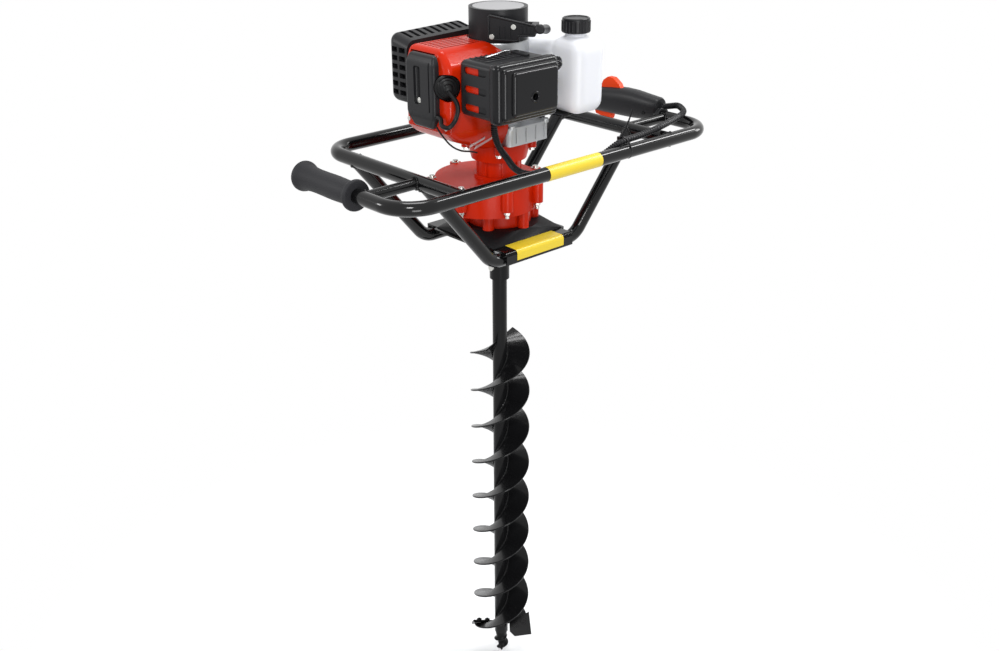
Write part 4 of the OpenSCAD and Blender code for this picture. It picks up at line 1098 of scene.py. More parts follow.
@dataclass
class Bit(SubAssembly):
    """Tube, two flights, blades and point.

    A tier of a blade's bolt is its height, radius and sides.
    """

    flight_rows: Profile = (
        (12, 0.0), (48.6, 0.0), (49.7, 0.5), (50, 1.6), (49.7, 2.7), (48.6, 3.2), (12, 3.2))
    flight_steps: int = 400
    weld_r: float = 12.7
    weld_lifts: tuple[float, float] = (-0.6, 3.8)
    weld_steps: int = 360
    bead_r: float = 1.5
    ripple: float = 0.3
    ripple_pace: float = 1.9
    blade_slope: float = 44.0
    blade_lift: float = 3.4
    blade_thick: float = 4.2
    blade_outline: Profile = ((15, 1), (36, -9), (52, -17), (55, 24), (24, 27), (15, 18))
    bolt_spots: Profile = ((26, 6), (41, 0))
    bolt_foot: float = 4.0
    bolt_tiers: tuple[tuple[float, float, int], ...] = ((3.6, 5.2, 6), (5.0, 2.6, 20))
    tip_low: float = 0.2
    tip_height: float = 59.6
    tip_r: float = 9.0
    tip_taper: float = 34.0
    neck_r: float = 2.8
    neck_h: float = 20.0
    tip_levels: int = 80
    thread_low: float = 0.5
    thread_zero: float = 9.0
    thread_r: float = 6.8
    thread_h: float = 38.0
    thread_lead: float = 19.7
    thread_phase: float = 138.0
    hollow: float = 0.7

    def starts(self) -> tuple[float, float]:
        """The angles at which the two flights start, in degrees."""
        return (SIZE.flight_phase, SIZE.flight_phase + 180)

    def climb(self) -> float:
        """The height of a flight."""
        return SIZE.flight_top - SIZE.flight_low

    def winding(self) -> float:
        """The angle through which a flight winds, in radians."""
        return 2 * math.pi * self.climb() / SIZE.lead

    def build(self) -> None:
        """Softens the tube, spins the flights and makes the cutting end."""
        self.soft("bit_tube", BIT_PAINT, 0.8, Body.BIT)
        flights = Mould()
        for start in self.starts():
            spots = [spun(start) @ Vector((x, 0, SIZE.flight_low + z)) for x, z in self.flight_rows]
            verts = [flights.mesh.verts.new(spot) for spot in spots]
            edges = [flights.mesh.edges.new(pair) for pair in zip(verts, verts[1:] + verts[:1])]
            face = flights.mesh.faces.new(verts)
            bmesh.ops.spin(flights.mesh, geom=verts + edges + [face], cent=(0, 0, 0), axis=(0, 0, 1),
                           angle=self.winding(), steps=self.flight_steps,
                           dvec=(0, 0, self.climb() / self.flight_steps))
        self.stand_in(flights, "bit_flights", BIT_PAINT, Body.BIT)
        self.blades()
        self.point()
        self.soft("coupling_bolt", ZINC, 0.6, Body.BIT)

    def blades(self) -> None:
        """Cuts the two blades and bolts them over the ends of the flights."""
        steel, bolts = Mould(), Mould()
        slope = math.radians(self.blade_slope)
        down = Vector((0, -math.cos(slope), -math.sin(slope)))
        out = Vector((0, -math.sin(slope), math.cos(slope)))
        foot = Vector((0, 0, SIZE.flight_low + self.blade_lift))
        for start in self.starts():
            turn = spun(start)
            steel.loft([[turn @ (foot + Vector((reach, 0, 0)) + down * fall + out * lift)
                         for reach, fall in self.blade_outline] for lift in (0.0, self.blade_thick)])
            for reach, fall in self.bolt_spots:
                spot = foot + Vector((reach, 0, 0)) + down * fall + out * self.bolt_foot
                for rise, radius, sides in self.bolt_tiers:
                    bolts.rod(turn @ spot, turn @ (spot + out * rise), radius, sides=sides)
        self.stand_in(steel.outward().soften(0.9, 3), "bit_blades", CUTTER, Body.BIT)
        self.hold(bolts.soften(0.4), "blade_bolts", CUTTER, Body.BIT)

    def point(self) -> None:
        """Draws the point as a tapered screw."""
        rings = []
        for level in range(self.tip_levels + 1):
            z = self.tip_low + self.tip_height * level / self.tip_levels
            core = self.tip_r * clamp(z / self.tip_taper) ** self.hollow
            core += self.neck_r * clamp((z - self.tip_taper) / self.neck_h)
            swell = max(0.0, math.sin(math.pi * clamp((z - self.thread_low) / self.thread_h)))
            ridge = self.thread_r * swell ** self.hollow
            winding = 2 * math.pi * (z - self.thread_zero) / self.thread_lead
            ring = []
            for angle in around(72):
                swing = angle - math.radians(self.thread_phase) - winding
                reach = core + ridge * (0.5 + 0.5 * math.cos(swing)) ** 3
                ring.append((reach * math.cos(angle), reach * math.sin(angle), z))
            rings.append(ring)
        self.stand_in(Mould().loft(rings), "bit_point", CUTTER, Body.BIT, ROUNDED)

    def dress(self) -> None:
        """Adds the welds where each flight meets the tube."""
        weld = Mould()
        steps = range(self.weld_steps + 1)
        radii = [self.bead_r + self.ripple * math.sin(step * self.ripple_pace) for step in steps]
        for start in self.starts():
            for lift in self.weld_lifts:
                path = []
                for step in steps:
                    share = step / self.weld_steps
                    angle = math.radians(start) + self.winding() * share
                    path.append(Vector((self.weld_r * math.cos(angle), self.weld_r * math.sin(angle),
                                        SIZE.flight_low + self.climb() * share + lift)))
                weld.sweep(path, radii, 8)
        self.hold(weld, "flight_welds", BIT_PAINT, Body.BIT)


@dataclass
class Engine(SubAssembly):
    """Crankcase, shrouds, guards, muffler, plug boot and wires.

    The plug boot starts at foot and points along aim. A hole for it is a length and a radius.
    """

    foot: Vector = field(default_factory=lambda: Vector((-118, -12, 1095)))
    aim: Vector = field(default_factory=lambda: Vector((-0.5, -0.86603, 0)))
    shroud_out: tuple[Level, ...] = (
        (-140, -6, -50, 50, 1029), (-140, -6, -50, 50, 1121), (-134, -6, -24, 46, 1145))
    shroud_in: tuple[Level, ...] = (
        (-137, 5, -47, 47, 1020), (-137, 5, -47, 47, 1119), (-131, 5, -22, 43, 1142))
    shroud_vents: Row = ((-124, -16, 1136), (-50, -12, 1160), (0, 9, 0), 6)
    shroud_slot: Block = ((-141, -16, 1131), (-129.5, 38, 1138.5))
    shroud_hole: tuple[float, float] = (60.0, 19.5)
    starter_bore: float = 47.0
    shroud_end: Block = ((-20, -60, 1000), (10, 60, 1200))
    funnel_out: tuple[Level, ...] = (
        (-62, -26.1, -34, 34, 990), (-126, -26.1, -50, 50, 1015), (-140, -26.1, -50, 50, 1028.9))
    funnel_in: tuple[Level, ...] = (
        (-60, -20, -31, 31, 993), (-123, -20, -47, 47, 1017), (-137, -20, -47, 47, 1040))
    neck_bore: float = 37.0
    guard_out: tuple[Level, ...] = (
        (-145, -140.2, -17, 24, 1031), (-151, -140.2, -29.6, 34, 1050), (-151, -140.2, -29.6, 34, 1126),
        (-146, -140.2, -25, 30, 1138))
    guard_slot: Block = ((-160, 0, 1066), (-144.5, 15, 1121))
    guard_groove: Block = ((-160, -20.5, 1058), (-149.6, -18, 1129))
    guard_hole: tuple[float, float] = (80.0, 19.2)
    muffler_out: Block = ((-134, 50.1, 1053), (6, 96, 1160))
    muffler_in: Block = ((-131, 52, 1056), (3, 93, 1157))
    muffler_slots: tuple[Row, ...] = (
        ((-119, 59, 1140), (-112.6, 86, 1170), (13.4, 0, 0), 9),
        ((-119, 85, 1064), (-112.6, 110, 1118), (13.4, 0, 0), 9),
        ((-150, 55, 1066), (-126, 69, 1073.5), (0, 0, 12.5), 6),
        ((-150, 73, 1066), (-126, 87, 1073.5), (0, 0, 12.5), 6))
    lid_z: float = 1100.0
    lid_front: float = 9.0
    lid_left: float = 4.0
    boot_rows: Profile = (
        (5.1, 10), (13, 10), (17, 13), (17, 25), (18.6, 27), (18.6, 29.5), (17.6, 30.5), (15.2, 30.8),
        (14.4, 31.6), (14.4, 33.6), (13.6, 34.4), (11.6, 34.7), (10.8, 35.4), (10.8, 37), (9.8, 37.8),
        (7.4, 38.2), (6.6, 39), (6.2, 41.5), (5, 42.6), (0.2, 42.8))
    lead_steps: tuple[Point, ...] = (
        (6, -13, -22), (3, -13, -41), (-9, -12, -52), (-13, -1, -51), (-10, 5, -44), (-8.5, 9.4, -42))
    boot_len: float = 38.0
    lead_end: float = -30.1
    lead_r: float = 3.3
    wire_steps: tuple[Point, ...] = (
        (-146, -26, 1040), (-144, -40, 1026), (-139, -52.5, 1014), (-122, -53, 1004), (-99, -47, 997),
        (-80, -40, 990))
    wire_r: float = 1.3
    screws: tuple[Pin, ...] = (
        ((-147.5, 8, 1071), (-142, 8, 1071), 4.4, 40), ((-148, 8, 1071), (-146, 8, 1071), 2.2, 6),
        ((-140.8, -42, 1037), (-136, -42, 1037), 3.4, 40), ((-140.8, 42, 1037), (-136, 42, 1037), 3.4, 40))
    rib_starts: tuple[float, ...] = (-12, 8, 28, 46)
    rib: Block = ((0, -53.4, 992), (3, -50, 1014))
    boss_spots: Profile = ((52, -48), (-18, -48), (52, 40))
    boss_ends: tuple[float, float] = (1014.0, 1020.5)
    boss_r: float = 5.5

    def build(self) -> None:
        """Draws the shrouds with round edges and softens the castings."""
        self.soft("crankcase", ALLOY, 1.2)
        self.shroud()
        self.funnel()
        self.end_guard()
        self.muffler_guard()
        self.soft("muffler", STEEL, 1.0)
        self.plug()

    def plug_hole(self, length: float, radius: float) -> Mould:
        """A round tool along the plug boot."""
        return Mould().rod(self.foot, self.foot + self.aim * length, radius, sides=64)

    def shroud(self) -> None:
        """Draws the upper shroud, hollow, with its vents."""
        shell = stacked(self.shroud_out).soften(9.0, 5, 12.0, spare=lambda spot: spot.x > -7 or spot.z < 1030)
        inside = stacked(self.shroud_in).soften(7.0, 4, 12.0, spare=lambda spot: spot.x > 4 or spot.z < 1021)
        vents = Mould().comb(*self.shroud_vents).box(*self.shroud_slot)
        starter = Mould().rod((0, 0, 1108), (0, 0, 1160), self.starter_bore, sides=96)
        shell.cut(inside).cut(vents).cut(starter).cut(Mould().box(*self.shroud_end))
        shell.cut(self.plug_hole(*self.shroud_hole))
        self.stand_in(shell, "cylinder_shroud", ORANGE_PLASTIC, smooth=MOULDED)

    def end_guard(self) -> None:
        """Draws the round-edged guard on the end of the shroud."""
        shell = stacked(self.guard_out).soften(4.5, 5, 12.0, spare=lambda spot: spot.x > -140.5)
        slot = Mould().box(*self.guard_slot).soften(4.0, 4, spare=lambda spot: spot.x < -159)
        shell.cut(slot).cut(Mould().box(*self.guard_groove)).cut(self.plug_hole(*self.guard_hole))
        self.stand_in(shell, "end_guard", PLASTIC, smooth=MOULDED)

    def lidded(self, low: Point, high: Point) -> Mould:
        """Makes a box whose top slopes down to the front and to the left.

        Args:
            low: Its low corner.
            high: Its high corner, before the slope.

        Returns:
            The box.
        """
        made = Mould().box(low, high)
        for corner in made.mesh.verts:
            if corner.co.z > self.lid_z:
                front = self.lid_front if corner.co.y < 60 else 0
                left = self.lid_left if corner.co.x < -60 else 0
                corner.co.z -= front + left
        return made

    def muffler_guard(self) -> None:
        """Draws the muffler's guard with round corners and slots."""
        shell = self.lidded(*self.muffler_out).soften(14.0, 6, spare=lambda spot: spot.y < 51)
        slots = Mould()
        for row in self.muffler_slots:
            slots.comb(*row)
        shell.cut(self.lidded(*self.muffler_in).soften(11.0, 5)).cut(slots)
        self.stand_in(shell, "muffler_guard", PLASTIC, smooth=MOULDED)

    def funnel(self) -> None:
        """Draws the funnel under the shroud."""
        shell = stacked(self.funnel_out).soften(
            8.0, 5, 12.0, spare=lambda spot: spot.x > -27 or spot.z > 1028 or spot.z < 991)
        neck = Mould().rod((0, 0, 980), (0, 0, 1040), self.neck_bore, sides=80)
        shell.cut(stacked(self.funnel_in)).cut(neck)
        self.stand_in(shell, "lower_shroud", ORANGE_PLASTIC, smooth=MOULDED)

    def plug(self) -> None:
        """Turns the ringed boot and lays the lead."""
        place = Matrix.Translation(self.foot) @ self.aim.to_track_quat("Z", "Y").to_matrix().to_4x4()
        self.stand_in(Mould().turn(self.boot_rows, place, 56), "plug_boot", LEAD, smooth=50.0)
        tip = self.foot + self.aim * self.boot_len
        spots = [tip + Vector((0, 0, -3)) + self.aim * self.lead_r]
        spots += [tip + Vector(step) for step in self.lead_steps]
        spots.append(Vector((spots[-1].x, self.lead_end, spots[-1].z)))
        self.stand_in(Mould().sweep(curve(spots, 10), self.lead_r, 18), "ht_lead", LEAD)

    def dress(self) -> None:
        """Adds screws, the stop wire and ribs on the crankcase."""
        screws = Mould()
        for start, end, radius, sides in self.screws:
            screws.rod(start, end, radius, sides=sides)
        self.hold(screws.soften(0.4), "guard_screws", ZINC)
        self.hold(Mould().sweep(curve(list(self.wire_steps), 10), self.wire_r, 10), "stop_wire", LEAD)
        ribs = Mould()
        low, high = self.rib
        for x in self.rib_starts:
            ribs.box((x + low[0], *low[1:]), (x + high[0], *high[1:]))
        low_z, high_z = self.boss_ends
        for x, y in self.boss_spots:
            ribs.rod((x, y, low_z), (x, y, high_z), self.boss_r)
        self.hold(ribs.soften(0.7), "crankcase_ribs", ALLOY)


@dataclass
class Intake(SubAssembly):
    """Carburettor, filter, choke and primer."""

    case_out: Block = ((-121.5, -117, 1056), (-10, -50.6, 1135))
    case_in: Block = ((-119, -130, 1058.5), (-12.5, -40, 1132.5))
    side_slots: Row = ((-125, -104, 1065), (-115, -67, 1075), (0, 0, 26), 3)
    top_slots: Row = ((-105.5, -89, 1128), (-100.5, -61, 1140), (12, 0, 0), 4)
    slot_r: float = 5.001
    collar_out: Block = ((-123.5, -126.4, 1054), (-8, -114, 1137))
    collar_in: Block = ((-118, -140, 1060), (-13, -100, 1131))
    socket: Point = (8.5, -116, 1120)
    socket_rows: Profile = ((7.5, 0), (10, 0), (10, 13), (0, 13), (0, 10.5), (7.5, 10.5), (7.5, 0))
    socket_arm: Block = ((-14, -113, 1114), (5.5, -104, 1126))
    screw_x: float = -64.0
    screw_z: float = 1089.0
    front_tier: tuple[Point, Point, float] = ((-104, -147, 1065), (-17, -140, 1127), 6.0)
    rear_tiers: tuple[tuple[Point, Point, float], ...] = (
        ((-118, -142, 1059), (-12, -134, 1132.5), 7.0), ((-124.5, -136, 1053), (-7, -126.6, 1138), 8.0))
    ring_rows: Profile = (
        (5.2, -2), (8.0, -2), (8.0, 0.3), (7.4, 0.7), (5.8, 0.7), (5.2, 0.3), (5.2, -2))
    panels: tuple[Block, ...] = (
        ((-118.2, -88, 1058), (-117.2, -57, 1130)), ((-112, -100, 1128.6), (-46, -57, 1129.8)))
    # A dark sheet behind the front ends of the side slots: painted shade for the inside of the case.
    shade: Block = ((-117.6, -113, 1058), (-116.6, -87, 1130))
    rod_steps: tuple[Point, ...] = (
        (-97, -81, 1138.5), (-70, -74, 1138.5), (-52, -68, 1139), (-40, -66, 1138))
    top_ribs: Row = ((-108, -96, 1133.6), (-105.4, -58, 1136.2), (10, 0, 0), 7)
    front_rib: Block = ((-110, -97.6, 1133.6), (-44, -95.4, 1136.2))
    rim_y: float = -126.2
    rim_loop: Profile = (
        (-66, 1054), (-8, 1054), (-8, 1137), (-123.5, 1137), (-123.5, 1054), (-66, 1054))

    def build(self) -> None:
        """Draws the case and cover and softens the other pieces."""
        self.case()
        self.collar()
        self.cover()
        self.soft("carburettor", ALLOY, 1.0)
        self.soft("choke_lever", PLASTIC, 0.9, Body.CHOKE)
        self.soft("primer_bulb", GLOSSY, 0.8, Body.PRIMER)

    def case(self) -> None:
        """Draws the slotted case with round corners."""
        shell = Mould().box(*self.case_out).soften(8.0, 5, spare=lambda spot: spot.y < -116)
        inside = Mould().box(*self.case_in).soften(6.0, 4, spare=lambda spot: spot.y < -129 or spot.y > -41)
        slots = Mould().comb(*self.side_slots).comb(*self.top_slots)
        low, high, shift, count = self.side_slots
        ends = Mould()
        for step in range(count):
            z = (low[2] + high[2]) / 2 + shift[2] * step
            for y in (low[1], high[1]):
                ends.rod((low[0], y, z), (high[0], y, z), self.slot_r, sides=32)
        self.stand_in(shell.cut(inside).cut(slots).cut(ends), "filter_case", PLASTIC, smooth=MOULDED)

    def collar(self) -> None:
        """Draws the collar behind the cover, with the primer's socket."""
        collar = Mould().box(*self.collar_out).soften(6.0, 4, spare=lambda spot: spot.y < -126)
        collar.cut(Mould().box(*self.collar_in))
        collar.turn(self.socket_rows, lying(self.socket), 48).box(*self.socket_arm)
        self.hold(collar, "filter_collar", PLASTIC, smooth=MOULDED)

    def tier(self, low: Point, high: Point, width: float) -> Mould:
        """One step of the cover, round at its front and sides."""
        return Mould().box(low, high).soften(width, 5, spare=lambda spot: spot.y > high[1] - 0.1)

    def on_screw(self, y: float) -> Point:
        """A point on the axis of the cover's screw."""
        return (self.screw_x, y, self.screw_z)

    def cover(self) -> None:
        """Draws the stepped cover with its screw hole."""
        hole = Mould().rod(self.on_screw(-150), self.on_screw(-139), 5.4, sides=48)
        cover = Mould().join(self.tier(*self.front_tier).cut(hole))
        for low, high, width in self.rear_tiers:
            cover.join(self.tier(low, high, width))
        self.stand_in(cover, "filter_cover", GLOSSY, smooth=MOULDED)

    def dress(self) -> None:
        """Adds the panels behind the slots, a dark sheet painting the shade inside the case behind their
        front ends, the choke's rod, ribs, and the cover's rim and screw.
        """
        panel = Mould()
        for low, high in self.panels:
            panel.box(low, high)
        self.hold(panel, "intake_panel", ORANGE_PLASTIC)
        # Painted shade: a dark sheet stands for the shadow inside the case behind the slots.
        self.hold(Mould().box(*self.shade), "intake_painted_shade", PLASTIC)
        ring = Mould().turn(self.ring_rows, lying(self.on_screw(-147), -1), 48)
        self.hold(ring, "cover_screw_ring", GLOSSY)
        screw = Mould().rod(self.on_screw(-138.5), self.on_screw(-142), 4.6)
        self.hold(screw.soften(0.4), "cover_screw", GLOSSY)
        self.hold(Mould().sweep(curve(list(self.rod_steps), 8), 1.6, 12), "choke_rod", STEEL)
        ribs = Mould().comb(*self.top_ribs).box(*self.front_rib)
        self.hold(ribs.soften(0.6), "filter_ribs", PLASTIC)
        path = bent([(x, self.rim_y, z) for x, z in self.rim_loop], 7, 6)[:-1]
        self.hold(Mould().sweep(path, 1.3, 10, True), "cover_rim", GLOSSY)


@dataclass
class Starter(SubAssembly):
    """Recoil starter housing, handle and rope.

    What lies along the pull is drawn along X, and turn brings it to its place.
    """

    turn: Matrix = field(default_factory=lambda: spun(-54))
    side: float = -28.0
    level: float = 1161.5
    rope_start: float = 40.0
    rope_step: float = 0.5
    rope_steps: int = 55
    rope_r: float = 1.9
    twist: float = 0.12
    twist_pace: float = 1.6
    rope_ends: tuple[float, float] = (42.0, 66.0)
    disc_rows: Profile = (
        (0.1, -0.9), (38.2, -0.9), (38.6, -0.5), (38.2, 0.2), (36.5, 0.5), (35.5, 0.1), (0.1, 0.1))
    rim_y: float = -49.2
    rim_outline: Profile = ((-4, -13), (40, -14), (40, -6), (64, -6), (64, 8), (-4, 21))
    rim_r: float = 1.7
    screw_spots: Profile = ((33, 6), (1, -9))
    screw_ends: tuple[float, float] = (-52.0, -48.0)
    screw_r: float = 3.8
    band_rows: Profile = ((43.6, -3), (46.2, -3), (46.2, 8), (45.4, 9.6), (43.6, 9.6))

    def build(self) -> None:
        """Softens the housing and handle, and lays the rope across the joint."""
        self.soft("starter_housing", PLASTIC, 1.1, segments=3)
        self.soft("starter_handle", PLASTIC, 0.8, Body.HANDLE)
        steps = range(self.rope_steps)
        path = [Vector((self.rope_start + self.rope_step * step, self.side, self.level)) for step in steps]
        radii = [self.rope_r + self.twist * math.sin(step * self.twist_pace) for step in steps]
        rope = Mould().sweep(path, radii, 12).move(self.turn).move(Matrix.Scale(MM, 4))
        piece = rope.lend("starter_rope_soft")
        piece.data.materials.append(ROPE.material())
        ends = [self.turn @ Vector((reach, self.side, self.level)) * MM for reach in self.rope_ends]
        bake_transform(piece)
        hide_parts("starter_rope")
        self.pieces.append(piece)

    def dress(self) -> None:
        """Adds the plain disc on top, the bracket's rim, ribs and screws, and the blower's rim."""
        top = Matrix.Translation((0, 0, SIZE.starter_z + SIZE.starter_h))
        self.hold(Mould().turn(self.disc_rows, top, 96), "starter_disc", DISC)
        corners = [Vector((reach, self.rim_y, self.level + lift)) for reach, lift in self.rim_outline]
        seam = corners[-1].lerp(corners[0], 0.5)
        rim = Mould().sweep(bent([seam, *corners, seam], 2.4, 6)[:-1], self.rim_r, 12, True)
        rim.comb((10, -50.6, self.level - 12), (11.8, -48.5, self.level + 6), (8, 0, 0), 3)
        rim.comb((42, -50.8, self.level - 4), (45, -48.5, self.level + 7), (6, 0, 0), 3)
        self.hold(rim.move(self.turn), "bracket_rim", PLASTIC)
        screws = Mould()
        for reach, lift in self.screw_spots:
            start, end = ((reach, y, self.level + lift) for y in self.screw_ends)
            screws.rod(start, end, self.screw_r)
        self.hold(screws.soften(0.4).move(self.turn), "bracket_screws", ZINC)
        band = Mould().turn(self.band_rows, Matrix.Translation((0, 0, SIZE.starter_z)), 96)
        self.hold(band, "blower_rim", ALLOY)


@dataclass
class Tank(SubAssembly):
    """Fuel tank with its cap and bracket."""

    lobes: tuple[Block, ...] = (((62, -106, 1029), (126, -40, 1142)), ((62, -62, 1029), (126, 62, 1135)))
    lobe_r: float = 19.0
    neck: Point = (94, -69, 1142)
    neck_rows: Profile = (
        (13.2, -8), (17.5, -8), (17.5, 0), (16.2, 1), (16.2, 3), (17.4, 4.2), (17.4, 5), (16, 6.2), (16, 18),
        (13.2, 18))
    ring: Point = (94, -69, 1168)
    ring_rows: Profile = ((20, -0.6), (20.4, 0.2), (19.4, 1.2), (17.6, 1.2), (17, 0.2), (17, -0.6))

    def build(self) -> None:
        """Melts two round lobes into the tank and softens the cap and bracket."""
        tank = Mould()
        for low, high in self.lobes:
            tank.box(low, high)
        self.stand_in(tank.soften(self.lobe_r, 7).melt(1.8, 14), "fuel_tank", TANK, smooth=80.0)
        self.hold(Mould().turn(self.neck_rows, Matrix.Translation(self.neck), 56), "tank_neck", TANK)
        self.soft("tank_cap", PLASTIC, 0.5, Body.CAP)
        self.soft("tank_bracket", BLACK_PAINT, 0.8)

    def dress(self) -> None:
        """Adds the raised ring on the cap."""
        self.hold(Mould().turn(self.ring_rows, Matrix.Translation(self.ring)), "cap_ring", PLASTIC, Body.CAP)


@dataclass
class Cables(SubAssembly):
    """Throttle conduit and its tie."""

    ridge_r: float = 5.2
    groove_r: float = 4.3
    tie_x: float = 113.0
    tie_far: float = 17.4
    tie_near: float = 12.0
    tie_y: float = -158.0
    tie_lift: float = 5.4
    tie_lean: tuple[float, float] = (0.66, 0.75)

    def build(self) -> None:
        """Lays the ribbed conduit."""
        f, e, g = SIZE.frame_z, SIZE.engine_z, SIZE.grip_x
        spots = [(-75, -74, 1054), (-73, -71, e + 37), (-68, -75, e + 15), (-66, -90, f + 10),
                 (-69, -110, f - 0.5), (-62, -127, f - 6), (-35, -143, f - 7.5), (30, -146.5, f - 6.5),
                 (75, -147, f - 1.5), (109, -152, f + 12.5), (162, -147, f + 13), (209, -145.5, f + 17.5),
                 (g - 35, -124.5, f + 17), (g - 7, -112, f + 18), (g + 6, -97, f + 19.5),
                 (g + 12, -83, f + 20), (g + 9, -70, f + 17.5), (g + 3, -56, f + 14.5)]
        path = curve(spots, 36)
        radii = [self.ridge_r if step % 4 < 2 else self.groove_r for step in range(len(path))]
        self.stand_in(Mould().sweep(path, radii, 14), "throttle_cable", PLASTIC)

    def dress(self) -> None:
        """Adds the tie round the bar and conduit."""
        x, z = self.tie_x, SIZE.frame_z
        flat, steep = self.tie_lean
        path = []
        for angle in around(48):
            far, near = self.tie_far * math.cos(angle), self.tie_near * math.sin(angle)
            path.append(Vector((x, self.tie_y + flat * far - steep * near,
                                z + self.tie_lift + steep * far + flat * near)))
        tie = Mould().sweep(path, 1.1, 8, True)
        tie.box((x - 2.5, -150, z + 15), (x + 2.5, -144, z + 20))
        tail = [(x, -147, z + 16), (x + 8, -150, z + 30), (x + 17, -150, z + 44), (x + 23, -150, z + 58)]
        self.hold(tie.sweep(curve(tail, 8), 1.2, 8), "cable_tie", GLOSSY)


@dataclass
class Labels(SubAssembly):
    """Plain yellow and silver films.

    A side stripe is the x and z of its two ends and its half width.
    """

    band_ends: tuple[float, float] = (-58.0, 50.0)
    band_r: float = 10.75
    panel_ends: tuple[float, float] = (-49.0, 50.0)
    panel_rear: float = -57.0
    panel_low: float = 827.0
    panel_lift: float = 0.4
    panel_sink: float = 0.2
    side_stripes: tuple[Stripe, ...] = ((-95, 1003.4, -72, 1012.4, 2.2), (-82, 997.4, -50, 1012, 2.6))
    end_stripe: tuple[Point, ...] = (
        (-121, 4, 1013), (-112, 4, 1009.5), (-112, -26, 1009.5), (-121, -26, 1013))
    funnel_y: float = -34.0
    funnel_z: float = 990.0
    funnel_slope: float = 0.64
    film_in: float = 0.6
    film_out: float = 0.5

    def build(self) -> None:
        """Lays the films on the bar, plate and funnel."""
        start, end = ((x, -SIZE.front_y, SIZE.frame_z) for x in self.band_ends)
        self.hold(Mould().rod(start, end, self.band_r, sides=64), "bar_band", YELLOW)
        outer, inner = (self.layer(FOLD.radius + lift) for lift in (self.panel_lift, -self.panel_sink))
        outline = outer + inner[::-1]
        panel = Mould().loft([[(x, y, z) for y, z in outline] for x in self.panel_ends])
        self.hold(panel, "plate_panel", YELLOW)
        stripes = Mould()
        for x0, z0, x1, z1, wide in self.side_stripes:
            ends = [(x0, z0 + wide), (x0, z0 - wide), (x1, z1 - wide), (x1, z1 + wide)]
            self.film(stripes, [self.on_funnel(x, z) for x, z in ends])
        self.film(stripes, self.end_stripe)
        self.hold(stripes, "funnel_stripes", SILVER)

    def on_funnel(self, x: float, z: float) -> Point:
        """A point on the sloping front of the funnel."""
        return (x, self.funnel_y - (z - self.funnel_z) * self.funnel_slope, z)

    def layer(self, radius: float) -> list[tuple[float, float]]:
        """Points across and up over the plate, round its fold and down its front."""
        return [(self.panel_rear, FOLD.z + radius), *FOLD.arc(radius), (FOLD.y - radius, self.panel_low)]

    def film(self, mould: Mould, corners: list[Point] | tuple[Point, ...]) -> None:
        """Adds a thin film over a flat face.

        Args:
            mould: The mould that takes it.
            corners: Four corners on the face.
        """
        spots = [Vector(corner) for corner in corners]
        normal = (spots[1] - spots[0]).cross(spots[2] - spots[0]).normalized()
        if normal.z > 0:
            normal.negate()
        mould.loft([[spot + normal * reach for spot in spots] for reach in (-self.film_in, self.film_out)])


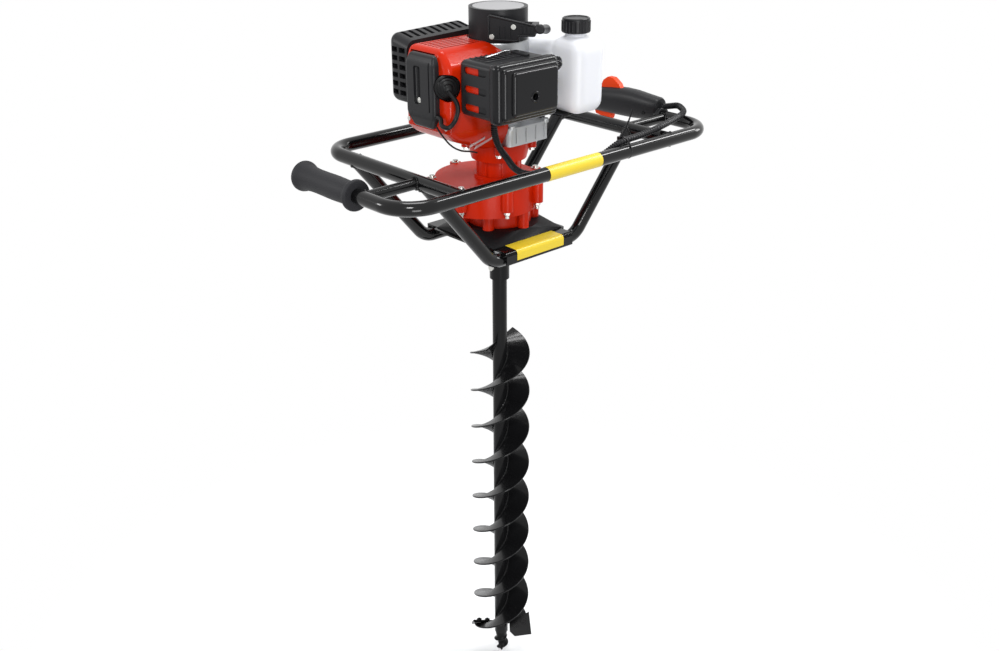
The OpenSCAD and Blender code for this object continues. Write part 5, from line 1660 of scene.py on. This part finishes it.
@dataclass(frozen=True)
class Studio:
    """Camera, lights, floor and background, in metres, degrees and watts.

    A lamp is its name, place, size and power.
    """

    place: Point = (-1.1922, -1.3141, 1.4768)
    yaw: float = 42.2
    pitch: float = 24.4
    roll: float = -0.3
    lens: float = 42.52
    sensor: float = 36.0
    nearest: float = 0.05
    target: Point = (0, 0, 0.95)
    lamps: tuple[tuple[str, Point, float, float], ...] = (
        ("key", (-1.9, -1.9, 2.9), 0.7, 46.0), ("side", (2.4, -0.9, 1.9), 0.8, 18.0),
        ("top", (0.3, 0.4, 3.2), 0.9, 24.0), ("rim", (-2.2, 1.6, 2.0), 0.6, 20.0),
        ("low", (-1.3, -2.3, 0.5), 0.9, 21.0))
    strip_place: Point = (1.7, -0.55, 2.6)
    strip_size: tuple[float, float] = (1.5, 0.3)
    strip_power: float = 34.0
    floor_half: float = 12.0
    floor_drop: float = 0.002
    fade: tuple[float, float] = (0.25, 0.9)
    fill: tuple[Colour, float] = ((0.95, 0.97, 1.0, 1), 0.55)
    white: tuple[Colour, float] = ((1, 1, 1, 1), 1.0)

    def build(self) -> None:
        """Sets the whole studio up."""
        self.camera()
        self.floor()
        self.lights()
        self.world()
        bpy.context.scene.view_settings.view_transform = "Standard"

    def add(self, name: str, data: bpy.types.ID, place: Matrix) -> bpy.types.Object:
        """Adds an object to the scene.

        Args:
            name: Its name.
            data: Its camera, lamp or mesh.
            place: Its place.

        Returns:
            The object.
        """
        made = bpy.data.objects.new(name, data)
        made.matrix_world = place
        bpy.context.scene.collection.objects.link(made)
        return made

    def camera(self) -> None:
        """Places the camera as the photo's."""
        data = bpy.data.cameras.new("camera")
        data.sensor_width = self.sensor
        data.lens = self.lens
        data.clip_start = self.nearest
        data.dof.use_dof = False
        yaw, pitch, roll = (math.radians(value) for value in (self.yaw, self.pitch, self.roll))
        right = Vector((math.cos(yaw), -math.sin(yaw), 0))
        up = Vector((math.sin(yaw) * math.sin(pitch), math.cos(yaw) * math.sin(pitch), math.cos(pitch)))
        across = right * math.cos(roll) + up * math.sin(roll)
        above = up * math.cos(roll) - right * math.sin(roll)
        turn = Matrix((across, above, across.cross(above))).transposed().to_4x4()
        bpy.context.scene.camera = self.add("camera", data, Matrix.Translation(self.place) @ turn)

    def floor(self) -> None:
        """Lays a pale floor under the tip."""
        ground = bmesh.new()
        bmesh.ops.create_grid(ground, x_segments=1, y_segments=1, size=self.floor_half)
        bmesh.ops.translate(ground, verts=ground.verts, vec=(0, 0, -self.floor_drop))
        data = bpy.data.meshes.new("floor")
        ground.to_mesh(data)
        ground.free()
        data.materials.append(self.paper())
        piece = self.add("floor", data, Matrix())

    def paper(self) -> bpy.types.Material:
        """Makes white paper that fades out away from the object.

        Returns:
            The paper's material.
        """
        shade = PAPER.make()
        ball = shade.node("ShaderNodeVectorMath", {"operation": "LENGTH"}, {0: shade.place})
        reach = Sock(shade.tree, ball.outputs["Value"])
        shade.give("Alpha", shade.between(reach, *self.fade, 1.0, 0.0))
        return shade.material

    def lights(self) -> None:
        """Hangs soft lamps round the object and a strip above it."""
        for name, spot, size, power in self.lamps:
            data = bpy.data.lights.new(name, "AREA")
            data.size = size
            data.energy = power
            aim = Vector(self.target) - Vector(spot)
            self.add(name, data, Matrix.Translation(spot) @ aim.to_track_quat("-Z", "Y").to_matrix().to_4x4())
        data = bpy.data.lights.new("strip", "AREA")
        data.shape = "RECTANGLE"
        data.size, data.size_y = self.strip_size
        data.energy = self.strip_power
        self.add("strip", data, Matrix.Translation(self.strip_place))

    def world(self) -> None:
        """Makes the background white to the camera and softer for lighting."""
        world = bpy.data.worlds.new("studio")
        bpy.context.scene.world = world
        world.use_nodes = True
        tree = world.node_tree
        tree.nodes.clear()
        out = tree.nodes.new("ShaderNodeOutputWorld")
        path = tree.nodes.new("ShaderNodeLightPath")
        camera, glossy, clear = (Sock(tree, path.outputs[ray]) for ray in
                                 ("Is Camera Ray", "Is Glossy Ray", "Is Transmission Ray"))
        seen = camera | glossy | clear
        joined = tree.nodes.new("ShaderNodeMixShader")
        tree.links.new(seen.end, joined.inputs["Fac"])
        for place, (colour, strength) in enumerate((self.fill, self.white), 1):
            light = tree.nodes.new("ShaderNodeBackground")
            light.inputs["Color"].default_value = colour
            light.inputs["Strength"].default_value = strength
            tree.links.new(light.outputs[0], joined.inputs[place])
        tree.links.new(joined.outputs[0], out.inputs["Surface"])


INNER = {
    "bearings": STEEL, "output_shaft": STEEL, "output_gear": STEEL, "layshaft": STEEL, "layshaft_gear": STEEL,
    "input_shaft": STEEL, "clutch_drum": STEEL, "crankshaft": STEEL, "connecting_rod": ALLOY,
    "piston": ALLOY, "cylinder_block": ALLOY, "flywheel": ALLOY, "clutch_shoes": STEEL, "spark_plug": ZINC,
    "control_pins": ZINC, "starter_reel": NYLON, "filter_element": FOAM, "cap_seal": LEAD,
    "starter_rope": ROPE,
}


@dataclass
class Auger:
    """The whole machine."""

    groups: list[SubAssembly] = field(default_factory=lambda: [
        FrameTubes(), Grips(), Gearbox(), Bit(), Engine(), Intake(), Starter(), Tank(), Cables(), Labels()])

    def build(self) -> None:
        """Builds and dresses every group and gives the inner nodes their finishes."""
        for node, finish in INNER.items():
            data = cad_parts[node].data
            data.materials.clear()
            data.materials.append(finish.material())
        for group in self.groups:
            group.build()
            group.dress()
            LOG.info("%s: %d pieces", type(group).__name__, len(group.pieces))


def main() -> None:
    """Builds the object and its studio."""
    logging.basicConfig(level=logging.INFO, format="%(name)s %(message)s")
    Auger().build()
    Studio().build()


if __name__ == "__main__":
    main()
